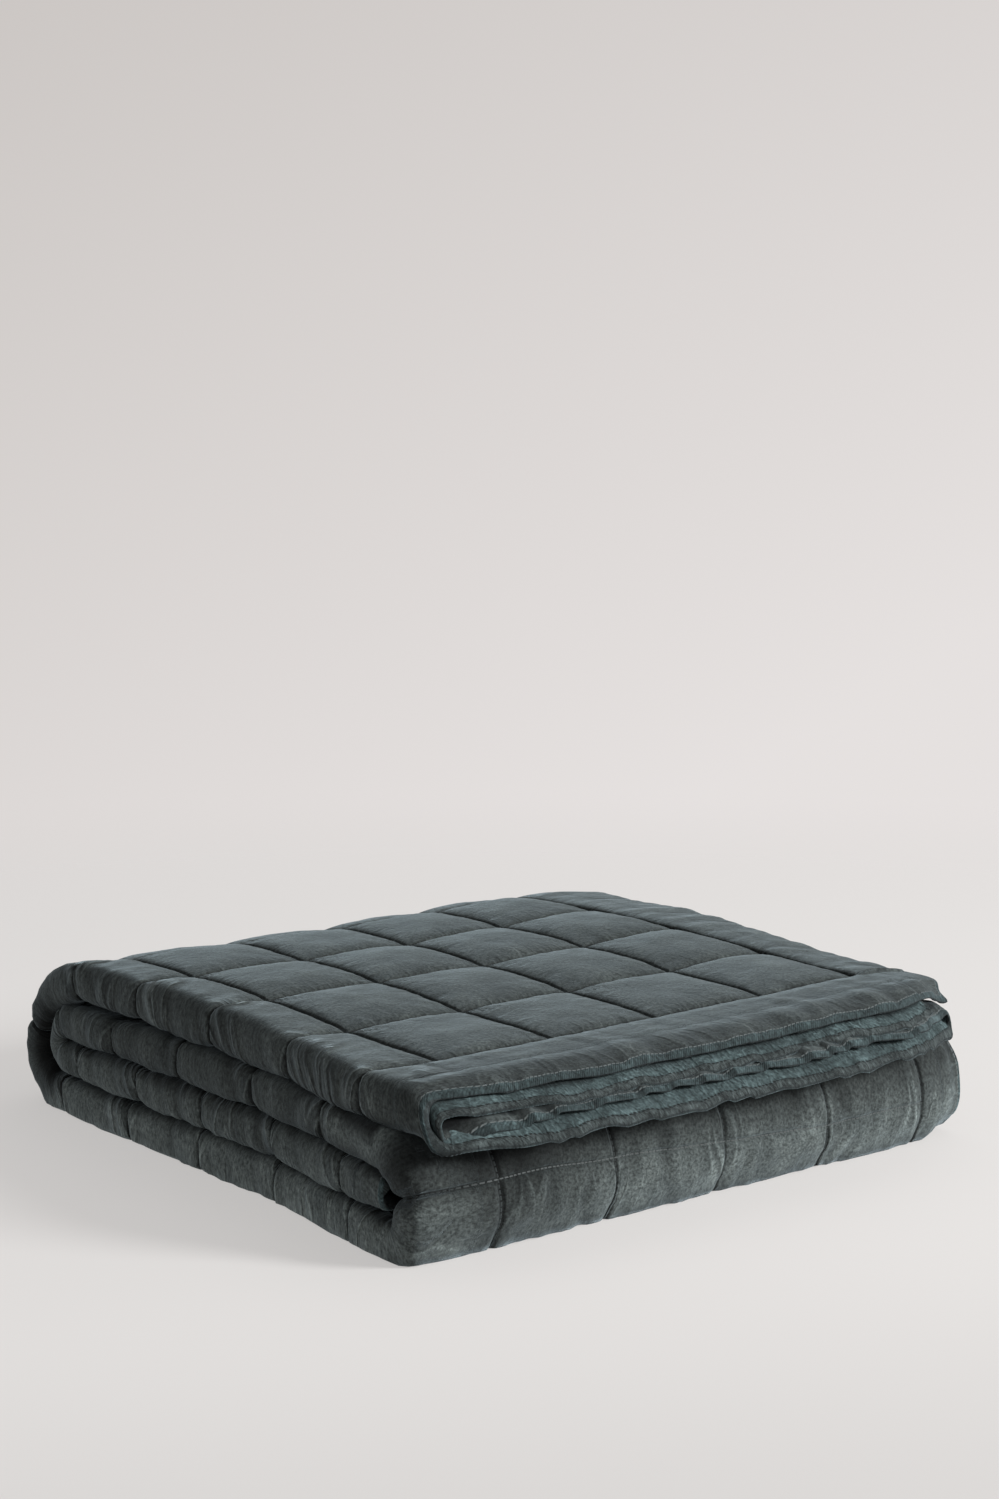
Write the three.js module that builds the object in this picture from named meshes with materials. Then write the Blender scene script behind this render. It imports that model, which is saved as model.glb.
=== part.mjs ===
// A quilted velvet bed cover, folded into a soft square block.
// Units are millimetres, +Z is up, and the origin is the middle of the foot of the block.
//
// The cover is one sheet, velvet on its face and plain cotton on its back, with wadding between them.
// It is folded in four across its width, which makes a strip of four layers.
// The strip is then wound along its length: top, round the back, bottom, up the front, in again below
// the top, round a small turn inside the back, and forward between the last two.
// So every point of the flat sheet has a place: across() folds it sideways, along() winds it lengthways.

import * as THREE from "three";
import { mergeVertices } from "three/addons/utils/BufferGeometryUtils.js";

// The flat sheet
const PITCH = 115; // side of one quilted square
const SQUARES_ACROSS = 18;
const SQUARES_ALONG = 21;
const SIDE_BORDER = 65; // plain border outside the squares, at the two long sides
const FIRST_END_BORDER = 86; // the same at the end that shows
const LAST_END_BORDER = 65; // and at the end wound inside
const SHEET_WIDTH = SQUARES_ACROSS * PITCH + 2 * SIDE_BORDER;
const SHEET_LENGTH = SQUARES_ALONG * PITCH + FIRST_END_BORDER + LAST_END_BORDER;
const FRONT_SEAM = FIRST_END_BORDER + 11 * PITCH; // distance of the seam that runs along the front

// Its thickness
const SEAM_THICKNESS = 3.2;
const CROWN_THICKNESS = 7.4;
const FREE_CROWN = 4.6; // added to a crown's face where nothing presses on it
const TIGHT_CROWN_SHARE = 0.35; // the part of it that varies on the rolls and the front
const BORDER_CROWN_SHARE = 0.7; // the plain border swells this much of a square's height
const HEM_THICKNESS = 3.4;
const FOLD_THICKNESS = 5.4; // squeezed, where the sheet turns back on itself
const LAYER_STEP = 8.6; // from one layer of the strip to the next

// The strip across, with x = 0 at the first lengthways seam that shows on top
const LEFT_TURN_X = -0.34 * PITCH; // where the outer layers start to turn
const INNER_LEFT_TURN_X = -0.25 * PITCH; // the same for the two layers inside them
const RIGHT_TURN_X = 4.33 * PITCH; // where the two lower layers are joined
const LAST_SEAM_X = 4 * PITCH; // the last lengthways seam on top, beside the plain border

// The strip along its winding, as heights of its four runs and places of its turns
const FOOT_RUN_Z = 0.15 * PITCH;
const INNER_LOW_RUN_Z = 0.455 * PITCH;
const INNER_HIGH_RUN_Z = 0.765 * PITCH;
const TOP_RUN_Z = 1.075 * PITCH;
const HEM_Y = 0.1 * PITCH;
const FRONT_REACH_Y = 0.29 * PITCH;
const FRONT_FOOT_Y = 0.46 * PITCH; // the lower corner of the front is squarer
const FRONT_TOP_Y = 0.62 * PITCH; // than the upper one
const FRONT_WIDEST_Z = 0.36 * PITCH;
const INNER_TURN_Y = 5 * PITCH;
const INNER_TURN_Z = 0.575 * PITCH;
const INNER_TURN_RADIUS = 0.14 * PITCH;
const BACK_SLOPE_Y = 4.55 * PITCH; // where the top starts to fall away to the back
const BACK_REACH_Y = 5.54 * PITCH;
const BACK_WIDEST_Z = 0.47 * PITCH;
const BACK_FOOT_Y = 5.2 * PITCH;
const BACK_PRESS_START_Y = 3 * PITCH;
const BACK_PRESS = 0.84; // the layers lie closer together round the back and at the foot of the front
const ROW_DRIFT = 0.12 * PITCH; // how far the rows on the front are from even ones
const INNER_ROW_DRIFT = 0.5 * PITCH; // and how much further the rows behind it are

// How the soft block sits
const FRONT_HEIGHT_SHARE = 0.92; // the front is pressed lower than the drawn heights, the back is fuller
const BACK_HEIGHT_SHARE = 1.02;
const RIGHT_HEIGHT_SHARE = 1.04; // so is the right side
const HEM_STEP_Y = 0.065 * PITCH; // each lower layer reaches this much further forward at the hem
const HEM_STEP_Z = 0.035 * PITCH; // and hangs this much lower
const HEM_DROOP = 0.07 * PITCH;
const HEM_REACH = 0.5 * PITCH; // how far from the hem the layers begin to reach forward
const HEM_BEND = 0.26 * PITCH; // how far from the hem they bend down
const HEM_FAN = 0.05 * PITCH; // the top layer is raised this much at the hem, the lowest isn't
const HEM_FAN_START = 1.5 * PITCH; // how far from the hem the layers begin to spread
const HEM_FAN_END = 0.3 * PITCH;
const THIRD_LIFT = 0.03 * PITCH; // the third layer bends down this much less, against the second
const TURN_TAPER = 0.08 * PITCH; // at the left end of the hem the outer turn draws in this much,
const TURN_FILL = 0.035 * PITCH; // the turn inside it comes out this much to meet it
const TURN_SPREAD = 0.3; // and opens, its two layers this much further apart
const TURN_TAPER_START = 0.8 * PITCH; // how far from the hem that begins
const HEM_SETBACK = 0.12 * PITCH; // at the left end of the hem, where the layers turn
const HEM_CORNER_SETBACK = 0.17 * PITCH; // at the right end, for the top layer
const HEM_TURN_SETBACK = 0.3 * PITCH; // and for the lowest
const LEFT_FLARE = 0.2 * PITCH; // the left side reaches this much further out at the front
const LEFT_TUCK = 0.05 * PITCH; // and this much less at the back
const RIGHT_FLARE = 0.25 * PITCH; // and the right side at the back
const BORDER_CURL = 0.04 * PITCH; // the free side border bends in over the edge of the layers inside it
const FRONT_BORDER_CURL = 0.1 * PITCH; // more so on the front
const PRESSED_FLAT = 3.4; // a face that lies lower than this is flat on the surface

const rise = (low, high, value) => THREE.MathUtils.smoothstep(value, low, high);
const mix = THREE.MathUtils.lerp;

// Height of the quilted swelling along one direction, from 0 at a seam to 1 at the middle of a square.
function squareSwelling(place, firstBorder) {
  const share = ((place - firstBorder) / PITCH) % 1;
  const fromSeam = 1 - Math.abs(2 * share - 1);
  return Math.sqrt(Math.max(0, 1 - (1 - fromSeam) ** 2.4));
}

// The same across the plain border, from 0 at the edge and at the frame seam, and 1 inside the frame.
function borderSwelling(place, length, firstBorder, lastBorder) {
  const fromEdge = place < firstBorder ? place / firstBorder : (length - place) / lastBorder;
  return fromEdge > 1 ? 1 : Math.sqrt(Math.max(0, 1 - (2 * fromEdge - 1) ** 2)) * BORDER_CROWN_SHARE;
}

// The seams end at the frame seam, so the border has no squares.
function swelling(u, v) {
  const sides = borderSwelling(u, SHEET_WIDTH, SIDE_BORDER, SIDE_BORDER);
  const ends = borderSwelling(v, SHEET_LENGTH, FIRST_END_BORDER, LAST_END_BORDER);
  if (sides < 1 || ends < 1) return sides * ends;
  return squareSwelling(u, SIDE_BORDER) * squareSwelling(v, FIRST_END_BORDER);
}

// The strip's section. u runs across the sheet from the free side hem of the top layer.
// Each part gives a place x, a height h over the strip's middle, and the direction in which the velvet faces.
const outerRadius = 1.5 * LAYER_STEP;
const innerRadius = 0.5 * LAYER_STEP;
const topLayer = LAST_SEAM_X + SIDE_BORDER - LEFT_TURN_X;
const bottomLayer = RIGHT_TURN_X - LEFT_TURN_X;
const thirdLayer = RIGHT_TURN_X - INNER_LEFT_TURN_X;
const outerTurn = Math.PI * outerRadius;
const innerTurn = Math.PI * innerRadius;
const secondLayer = SHEET_WIDTH - topLayer - outerTurn - bottomLayer - thirdLayer - 2 * innerTurn;

const flatRun = (x, heading, height, facing) => (u) => {
  return { x: x + heading * u, h: height, facingX: 0, facingH: facing };
};
const turn = (x, height, radius, start, sweep, facing) => (u) => {
  const angle = start + (sweep * u) / radius;
  const outX = Math.cos(angle);
  const outH = Math.sin(angle);
  return { x: x + radius * outX, h: height + radius * outH, facingX: facing * outX, facingH: facing * outH };
};

const UP = Math.PI / 2;
const SECTION = [
  { length: topLayer, place: flatRun(LAST_SEAM_X + SIDE_BORDER, -1, outerRadius, 1) },
  { length: outerTurn, place: turn(LEFT_TURN_X, 0, outerRadius, UP, 1, 1) },
  { length: bottomLayer, place: flatRun(LEFT_TURN_X, 1, -outerRadius, -1) },
  { length: innerTurn, place: turn(RIGHT_TURN_X, -LAYER_STEP, innerRadius, -UP, 1, 1) },
  { length: thirdLayer, place: flatRun(RIGHT_TURN_X, -1, -innerRadius, 1) },
  { length: innerTurn, place: turn(INNER_LEFT_TURN_X, 0, innerRadius, -UP, -1, -1) },
  { length: secondLayer, place: flatRun(INNER_LEFT_TURN_X, 1, innerRadius, -1) },
];

function across(u) {
  let start = 0;
  for (const part of SECTION) {
    if (u <= start + part.length) return part.place(u - start);
    start += part.length;
  }
  return SECTION.at(-1).place(SECTION.at(-1).length);
}

// How much the sheet is squeezed at u, from 0 on the flat layers to 1 in the two tight turns.
const firstTightTurn = topLayer + outerTurn + bottomLayer + innerTurn / 2;
const secondTightTurn = firstTightTurn + innerTurn + thirdLayer;
function squeeze(u) {
  const away = Math.min(Math.abs(u - firstTightTurn), Math.abs(u - secondTightTurn));
  return 1 - rise(innerTurn, 3 * innerTurn, away);
}

// The strip's middle line, seen from the left: y to the back, z up.
const winding = new THREE.CurvePath();
const run = (fromY, toY, fromZ, toZ = fromZ) =>
  winding.add(new THREE.LineCurve(new THREE.Vector2(fromY, fromZ), new THREE.Vector2(toY, toZ)));
const bend = (y, z, reachY, reachZ, from, to) =>
  winding.add(new THREE.EllipseCurve(y, z, reachY, reachZ, from, to, true));
run(HEM_Y, BACK_SLOPE_Y, TOP_RUN_Z);
bend(BACK_SLOPE_Y, BACK_WIDEST_Z, BACK_REACH_Y - BACK_SLOPE_Y, TOP_RUN_Z - BACK_WIDEST_Z, UP, 0);
bend(BACK_FOOT_Y, BACK_WIDEST_Z, BACK_REACH_Y - BACK_FOOT_Y, BACK_WIDEST_Z - FOOT_RUN_Z, 0, -UP);
run(BACK_FOOT_Y, FRONT_FOOT_Y, FOOT_RUN_Z);
bend(FRONT_FOOT_Y, FRONT_WIDEST_Z, FRONT_FOOT_Y - FRONT_REACH_Y, FRONT_WIDEST_Z - FOOT_RUN_Z, 3 * UP, 2 * UP);
bend(FRONT_TOP_Y, FRONT_WIDEST_Z, FRONT_TOP_Y - FRONT_REACH_Y, INNER_HIGH_RUN_Z - FRONT_WIDEST_Z, 2 * UP, UP);
run(FRONT_TOP_Y, INNER_TURN_Y, INNER_HIGH_RUN_Z, INNER_TURN_Z + INNER_TURN_RADIUS);
bend(INNER_TURN_Y, INNER_TURN_Z, INNER_TURN_RADIUS, INNER_TURN_RADIUS, UP, -UP);
run(INNER_TURN_Y, FRONT_REACH_Y, INNER_TURN_Z - INNER_TURN_RADIUS, INNER_LOW_RUN_Z);

// Points of the middle line, each with its distance along the outermost layer, on which the squares are even.
const WINDING_STEPS = 4000;
const evenRadius = outerRadius + SEAM_THICKNESS / 2;
const stations = [];
for (let i = 0; i <= WINDING_STEPS; i++) {
  const at = winding.getPoint(i / WINDING_STEPS);
  const heading = winding.getTangent(i / WINDING_STEPS);
  const station = { y: at.x, z: at.y, outY: -heading.y, outZ: heading.x, v: 0 };
  const last = stations.at(-1);
  if (last) {
    const dy = station.y - last.y + evenRadius * (station.outY - last.outY);
    const dz = station.z - last.z + evenRadius * (station.outZ - last.outZ);
    station.v = last.v + Math.hypot(dy, dz);
  }
  stations.push(station);
}

// Distances along the outermost layer at which the bends round the back and up the front start and end.
const curveEnds = winding.getCurveLengths();
function distanceAtEnd(curve) {
  const share = curveEnds[curve] / curveEnds.at(-1);
  return stations[Math.round(share * WINDING_STEPS)].v;
}
const backEnd = distanceAtEnd(2);
const frontStart = distanceAtEnd(3);
const frontEnd = distanceAtEnd(5);

// How free the outermost layer is to swell: 1 on the top, the back and the front, 0 where it is covered.
function openness(distance) {
  const soft = 0.2 * PITCH;
  const overBack = 1 - rise(backEnd - soft, backEnd, distance);
  const upFront = rise(frontStart, frontStart + soft, distance) - rise(frontEnd - soft, frontEnd, distance);
  return Math.max(overBack, upFront);
}

// The sheet is stretched round the back and over the front, and loose inside, so its rows drift.
function slack(v) {
  const overBack = ROW_DRIFT * rise(5 * PITCH, 11 * PITCH, v);
  const overFront = INNER_ROW_DRIFT * rise(FRONT_SEAM, FRONT_SEAM + PITCH, v);
  return (overBack + overFront) * (1 - rise(13 * PITCH, 23 * PITCH, v));
}

// The middle line at a distance, and the direction in which the outermost layer lies from it.
function along(distance) {
  const next = stations.findIndex((station) => station.v >= distance);
  const after = stations[next < 1 ? (next === 0 ? 1 : stations.length - 1) : next];
  const before = stations[stations.indexOf(after) - 1];
  const share = (distance - before.v) / (after.v - before.v);
  const between = (key) => mix(before[key], after[key], share);
  return { y: between("y"), z: between("z"), outY: between("outY"), outZ: between("outZ") };
}

// The place of a point of the sheet, on its velvet face (side 1) or its cotton back (side -1).
function folded(u, v, side) {
  const swell = swelling(u, v);
  const nearEdge = Math.min(u, SHEET_WIDTH - u, v, SHEET_LENGTH - v) < 1;
  const full = nearEdge ? HEM_THICKNESS : mix(SEAM_THICKNESS, CROWN_THICKNESS, swell);
  const layer = across(u);
  const distance = v + slack(v);
  const way = along(distance);
  const atBack = rise(BACK_PRESS_START_Y, BACK_SLOPE_Y, way.y);
  const atFront = 1 - rise(FRONT_FOOT_Y, PITCH, way.y);
  const low = 1 - rise(FRONT_WIDEST_Z, INNER_HIGH_RUN_Z, way.z);
  const press = mix(1, BACK_PRESS, Math.max(atBack, atFront * low));
  const thickness = press * mix(full, Math.min(full, FOLD_THICKNESS), squeeze(u));

  // The outermost layer and its turn swell outwards where nothing lies against them.
  const outermost = side > 0 && u < topLayer + outerTurn;
  const onRoll = Math.max(0, -layer.facingX);
  const tight = Math.max(onRoll, 1 - Math.max(0, way.outZ));
  const free = outermost ? Math.max(openness(distance), onRoll) : 0;
  const half = (side * thickness) / 2 + FREE_CROWN * free * mix(1, swell, mix(1, TIGHT_CROWN_SHARE, tight));

  // Towards the hem the outer turn at the left draws in, and the turn inside it opens and fills it.
  const inner = u > firstTightTurn;
  const atTurn = (1 - rise(0, TURN_TAPER_START, v)) * (1 - rise(-0.4 * PITCH, 0.5 * PITCH, layer.x));
  const x = layer.x + half * layer.facingX + atTurn * (inner ? -TURN_FILL : TURN_TAPER);
  const height = layer.h * (inner ? 1 + TURN_SPREAD * atTurn : 1);

  // The free side border bends in over the edge of the layers inside it.
  const onFront = distance > frontStart && distance < frontEnd ? rise(0, 1, -way.outY) : 0;
  const curl = mix(BORDER_CURL, FRONT_BORDER_CURL, onFront) * (1 - rise(0, 0.5 * PITCH, u));
  const offset = press * height + half * layer.facingH - curl;
  let y = way.y + offset * way.outY;
  let z = way.z + offset * way.outZ;

  // At the hem the layers reach forward and bend down, the lower ones more.
  const hemShare = 1 - rise(0, HEM_REACH, v);
  const bendShare = Math.max(0, 1 - v / HEM_BEND) ** 2;
  const below = (outerRadius - layer.h) / LAYER_STEP;
  const leftEnd = HEM_SETBACK * (1 - rise(-0.5 * PITCH, 0.4 * PITCH, x));
  const rightEnd = mix(HEM_CORNER_SETBACK, HEM_TURN_SETBACK, below / 3) * rise(3.6 * PITCH, 4.5 * PITCH, x);
  y -= hemShare * (HEM_STEP_Y * below - leftEnd - rightEnd);
  const third = Math.max(0, 1 - Math.abs(below - 2)) * (1 - atTurn);
  z += HEM_FAN * (1 - below / 3) * (1 - rise(HEM_FAN_END, HEM_FAN_START, v));
  z -= bendShare * (HEM_DROOP + HEM_STEP_Z * below - THIRD_LIFT * third);

  // The block is lower at the front left, and its sides run out at the front left and the back right.
  z *= mix(FRONT_HEIGHT_SHARE, BACK_HEIGHT_SHARE, rise(0, 4 * PITCH, y));
  z *= mix(1, RIGHT_HEIGHT_SHARE, rise(1.5 * PITCH, 4 * PITCH, x));
  const left = 1 - rise(-0.35 * PITCH, 0.05 * PITCH, x);
  const right = rise(4 * PITCH, 4.6 * PITCH, x);
  const leftward = LEFT_FLARE * (1 - rise(0, 2.4 * PITCH, y)) - LEFT_TUCK * rise(4.6 * PITCH, 5.5 * PITCH, y);
  const rightward = RIGHT_FLARE * rise(PITCH, 4.5 * PITCH, y);
  const flared = x - left * leftward + right * rightward;
  if (side > 0 && z < PRESSED_FLAT) z = 0;
  if (side < 0 && z < PRESSED_FLAT) z = PRESSED_FLAT;
  return [flared, y, z];
}

// Lines of the mesh across the sheet: on the seams and between them on top, even elsewhere.
const SECTION_FACETS = [1, 6, 3, 3, 4, 2, 4]; // for each part of SECTION, past the squares on top
const TOP_SQUARES = 4;
const SQUARE_LINES = [0, 0.2, 0.5, 0.8]; // close to the seams, where a square rises fastest
const linesAcross = [0, SIDE_BORDER / 2];
for (let square = 0; square < TOP_SQUARES; square++) {
  linesAcross.push(...SQUARE_LINES.map((share) => SIDE_BORDER + (square + share) * PITCH));
}
linesAcross.push(SIDE_BORDER + TOP_SQUARES * PITCH);
let partStart = 0;
SECTION.forEach((part, index) => {
  const from = index === 0 ? linesAcross.at(-1) : partStart;
  const to = partStart + part.length;
  const facets = SECTION_FACETS[index];
  for (let i = 1; i <= facets; i++) linesAcross.push(mix(from, to, i / facets));
  partStart = to;
});

// Lines of the mesh along the sheet: for each row of squares the number of facets along it.
const ROW_FACETS = [
  ...[4, 4, 4, 4], // top
  ...[4, 4], // round the back
  ...[2, 2, 2, 2], // foot
  ...[5, 7], // up the front
  ...[2, 2, 2, 2], // in below the top
  ...[6, 2], // the turn inside
  ...[2, 2, 2], // forward to the end
];
const linesAlong = [0, 0.4 * HEM_BEND, HEM_BEND];
ROW_FACETS.forEach((facets, row) => {
  for (let i = 0; i < facets; i++) {
    const share = facets === SQUARE_LINES.length ? SQUARE_LINES[i] : i / facets;
    linesAlong.push(FIRST_END_BORDER + (row + share) * PITCH);
  }
});
linesAlong.push(SHEET_LENGTH - LAST_END_BORDER, SHEET_LENGTH);

// A box with those lines, each of its points moved to its folded place.
const cellsAcross = linesAcross.length - 1;
const cellsAlong = linesAlong.length - 1;
const sheet = new THREE.BoxGeometry(1, 1, 1, cellsAcross, cellsAlong, 1);
sheet.deleteAttribute("normal");
sheet.deleteAttribute("uv");
const points = sheet.getAttribute("position");
for (let i = 0; i < points.count; i++) {
  const u = linesAcross[cellsAcross - Math.round((points.getX(i) + 0.5) * cellsAcross)];
  const v = linesAlong[Math.round((points.getY(i) + 0.5) * cellsAlong)];
  points.setXYZ(i, ...folded(u, v, Math.sign(points.getZ(i))));
}
const quilt = mergeVertices(sheet, 1e-3);
quilt.computeBoundingBox();
const middle = quilt.boundingBox.getCenter(new THREE.Vector3());
quilt.translate(-middle.x, -middle.y, 0);
quilt.computeVertexNormals();

const velvet = new THREE.MeshStandardMaterial({ color: 0x565f60, roughness: 0.85, metalness: 0 });
velvet.name = "velvet";
const cover = new THREE.Mesh(quilt, velvet);
cover.name = "quilted_cover";

const bedCover = new THREE.Group();
bedCover.name = "bed_cover";
bedCover.add(cover);

export default bedCover;
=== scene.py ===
"""A quilted velvet bed cover, folded into a soft square block.

The cover is one sheet, velvet on its face and cotton on its back. Each point (u, v) of the flat sheet,
in millimetres, is folded sideways into a strip of four layers and wound lengthways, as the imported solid
is, with its finer relief added.
"""

import math

import bmesh
import bpy
import numpy as np
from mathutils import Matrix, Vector


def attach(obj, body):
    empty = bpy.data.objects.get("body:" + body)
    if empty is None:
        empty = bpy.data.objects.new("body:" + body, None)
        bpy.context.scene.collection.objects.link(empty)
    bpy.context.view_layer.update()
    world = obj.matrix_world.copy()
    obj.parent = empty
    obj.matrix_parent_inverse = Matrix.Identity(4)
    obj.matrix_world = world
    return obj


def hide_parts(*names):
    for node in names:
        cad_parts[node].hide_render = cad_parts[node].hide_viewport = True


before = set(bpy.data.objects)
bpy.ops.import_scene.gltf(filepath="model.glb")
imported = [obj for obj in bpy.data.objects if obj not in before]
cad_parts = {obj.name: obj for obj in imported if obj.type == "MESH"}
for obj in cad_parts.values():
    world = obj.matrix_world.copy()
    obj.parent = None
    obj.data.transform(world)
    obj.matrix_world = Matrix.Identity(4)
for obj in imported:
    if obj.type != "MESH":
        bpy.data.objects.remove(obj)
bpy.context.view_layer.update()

# The flat sheet, in millimetres
PITCH = 115
SQUARES_ACROSS = 18
SQUARES_ALONG = 21
SIDE_BORDER = 65
FIRST_END_BORDER = 86
LAST_END_BORDER = 65
FRONT_SEAM = FIRST_END_BORDER + 11 * PITCH
WIDTH = SQUARES_ACROSS * PITCH + 2 * SIDE_BORDER
LENGTH = SQUARES_ALONG * PITCH + FIRST_END_BORDER + LAST_END_BORDER
ACROSS = (WIDTH, SIDE_BORDER, SIDE_BORDER)
ALONG = (LENGTH, FIRST_END_BORDER, LAST_END_BORDER)
STITCH_FROM_EDGE = 4.6

# Its thickness
SEAM_THICKNESS = 3.2
CROWN_THICKNESS = 7.4
FREE_CROWN = 4.6
TIGHT_CROWN_SHARE = 0.35
BORDER_CROWN_SHARE = 0.7
SQUARE_FULLNESS = 2.4
HEM_THICKNESS = 3.4
HEM_ROUNDING = 1.7
FOLD_THICKNESS = 5.4
LAYER_STEP = 8.6

# The strip across
LEFT_TURN_X = -0.34 * PITCH
INNER_LEFT_TURN_X = -0.25 * PITCH
RIGHT_TURN_X = 4.33 * PITCH
LAST_SEAM_X = 4 * PITCH

# The strip along its winding
FOOT_RUN_Z = 0.15 * PITCH
LOW_RUN_Z = 0.455 * PITCH
HIGH_RUN_Z = 0.765 * PITCH
TOP_RUN_Z = 1.075 * PITCH
HEM_Y = 0.1 * PITCH
FRONT_REACH_Y = 0.29 * PITCH
FRONT_FOOT_Y = 0.46 * PITCH
FRONT_TOP_Y = 0.62 * PITCH
FRONT_WIDEST_Z = 0.36 * PITCH
INNER_TURN_Y = 5 * PITCH
INNER_TURN_Z = 0.575 * PITCH
INNER_TURN_RADIUS = 0.14 * PITCH
BACK_SLOPE_Y = 4.55 * PITCH
BACK_REACH_Y = 5.54 * PITCH
BACK_WIDEST_Z = 0.47 * PITCH
BACK_FOOT_Y = 5.2 * PITCH
BACK_PRESS_START_Y = 3 * PITCH
BACK_PRESS = 0.84
INNER_TAIL = 200.0  # the line goes on straight for this long after its last bend
LINE_STEPS = 400
BEND_STEPS = 800

# How the rows and the seams lie
ROW_DRIFT = 0.12 * PITCH
ROW_DRIFT_GROWS = (5 * PITCH, 11 * PITCH)
ROW_DRIFT_FADES = (13 * PITCH, 23 * PITCH)
INNER_ROW_DRIFT = 0.5 * PITCH
OPEN_SOFTNESS = 0.2 * PITCH
SEAM_LEAN = 18.0  # the seam along the front is this much higher at its left end
LEAN_REACH = 75
LEAN_END = 700
SEAM_DRIFTS = ((4.0, 260), (1.8, 75))  # how far the seams wander, and over what length
DRIFT_MARGIN = 60

# How the soft block sits. A pair is the range in which a shape begins or ends.
FRONT_HEIGHT_SHARE = 0.92
BACK_HEIGHT_SHARE = 1.02
HEIGHT_GROWS_BACK = (0, 4 * PITCH)
RIGHT_HEIGHT_SHARE = 1.04
HEIGHT_GROWS_RIGHT = (1.5 * PITCH, 4 * PITCH)
LEFT_SIDE = (-0.35 * PITCH, 0.05 * PITCH)
LEFT_FLARE = 0.2 * PITCH
LEFT_FLARE_FADES = (0, 2.4 * PITCH)
LEFT_TUCK = 0.05 * PITCH
LEFT_TUCK_GROWS = (4.6 * PITCH, 5.5 * PITCH)
RIGHT_SIDE = (4 * PITCH, 4.6 * PITCH)
RIGHT_FLARE = 0.25 * PITCH
RIGHT_FLARE_GROWS = (PITCH, 4.5 * PITCH)
BORDER_CURL = 0.04 * PITCH
FRONT_BORDER_CURL = 0.1 * PITCH
CURL_REACH = 0.5 * PITCH
PRESSED_FLAT = 3.4
SETTLED = 14.0  # below this height the cloth settles closer to the surface
SETTLING = 1.6
FOOT_FADES = (FOOT_RUN_Z + 2, 0.34 * PITCH)
FOOT_SWELL = 0.7
FOOT_EVENNESS = 0.75
CORNER_SIZE = 34
CORNER_ROUND = 9.5
CORNER_DROP_SHARE = 0.8
MIDDLE_X = 236.05  # the middle of the block, which comes to stand over the frame's origin
MIDDLE_Y = 321.99

# The four layers of hem at the front
HEM_REACH = 0.5 * PITCH
HEM_STEP_Y = 0.065 * PITCH
HEM_STEP_Z = 0.017 * PITCH
HEM_DROOP = 0.085 * PITCH
HEM_BEND = 0.26 * PITCH
HEM_FAN = 0.03 * PITCH
HEM_FAN_FADES = (0.3 * PITCH, 1.5 * PITCH)
FIRST_LIFT = 0.03 * PITCH
THIRD_LIFT = 0.055 * PITCH
HEM_SETBACK = 0.12 * PITCH
HEM_SETBACK_FADES = (-0.5 * PITCH, 0.4 * PITCH)
HEM_CORNER_SETBACK = 0.17 * PITCH
HEM_TURN_SETBACK = 0.3 * PITCH
HEM_CORNER_GROWS = (3.6 * PITCH, 4.5 * PITCH)
TURN_TAPER = 0.08 * PITCH
TURN_FILL = 0.035 * PITCH
TURN_SPREAD = 0.75
TURN_TAPER_START = 0.8 * PITCH
TURN_TAPER_FADES = (-0.4 * PITCH, 0.5 * PITCH)


def rise(low, high, value):
    """A smooth step from 0 at low to 1 at high."""
    t = np.clip((value - low) / (high - low), 0.0, 1.0)
    return t * t * (3 - 2 * t)


def fall(low, high, value):
    """A smooth step from 1 at low to 0 at high."""
    return 1 - rise(low, high, value)


def hump(distance, width):
    """A soft bump, 1 at distance 0."""
    return np.exp(-((distance / width) ** 2))


def mix(a, b, t):
    return a + (b - a) * t


# Smooth seeded noise
NOISE_CELLS = 256
NOISE_GAIN = 1.5
LAYER_SHIFT_X = 37.7
LAYER_SHIFT_Y = 17.3
rng = np.random.default_rng(7)
GRADIENTS = rng.uniform(0, 2 * math.pi, (NOISE_CELLS, NOISE_CELLS))


def noise(x, y, layer):
    """About -1 to 1, with a period of one unit. Each layer number has its own pattern."""
    x = np.asarray(x, float) + LAYER_SHIFT_X * layer
    y = np.asarray(y, float) + LAYER_SHIFT_Y * layer
    x, y = np.broadcast_arrays(x, y)
    xi, yi = np.floor(x).astype(int), np.floor(y).astype(int)
    fx, fy = x - xi, y - yi
    sx = fx * fx * fx * (fx * (fx * 6 - 15) + 10)
    sy = fy * fy * fy * (fy * (fy * 6 - 15) + 10)

    def corner(i, j):
        angle = GRADIENTS[(xi + i) % NOISE_CELLS, (yi + j) % NOISE_CELLS]
        return np.cos(angle) * (fx - i) + np.sin(angle) * (fy - j)

    low = mix(corner(0, 0), corner(1, 0), sx)
    high = mix(corner(0, 1), corner(1, 1), sx)
    return mix(low, high, sy) * NOISE_GAIN


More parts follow.
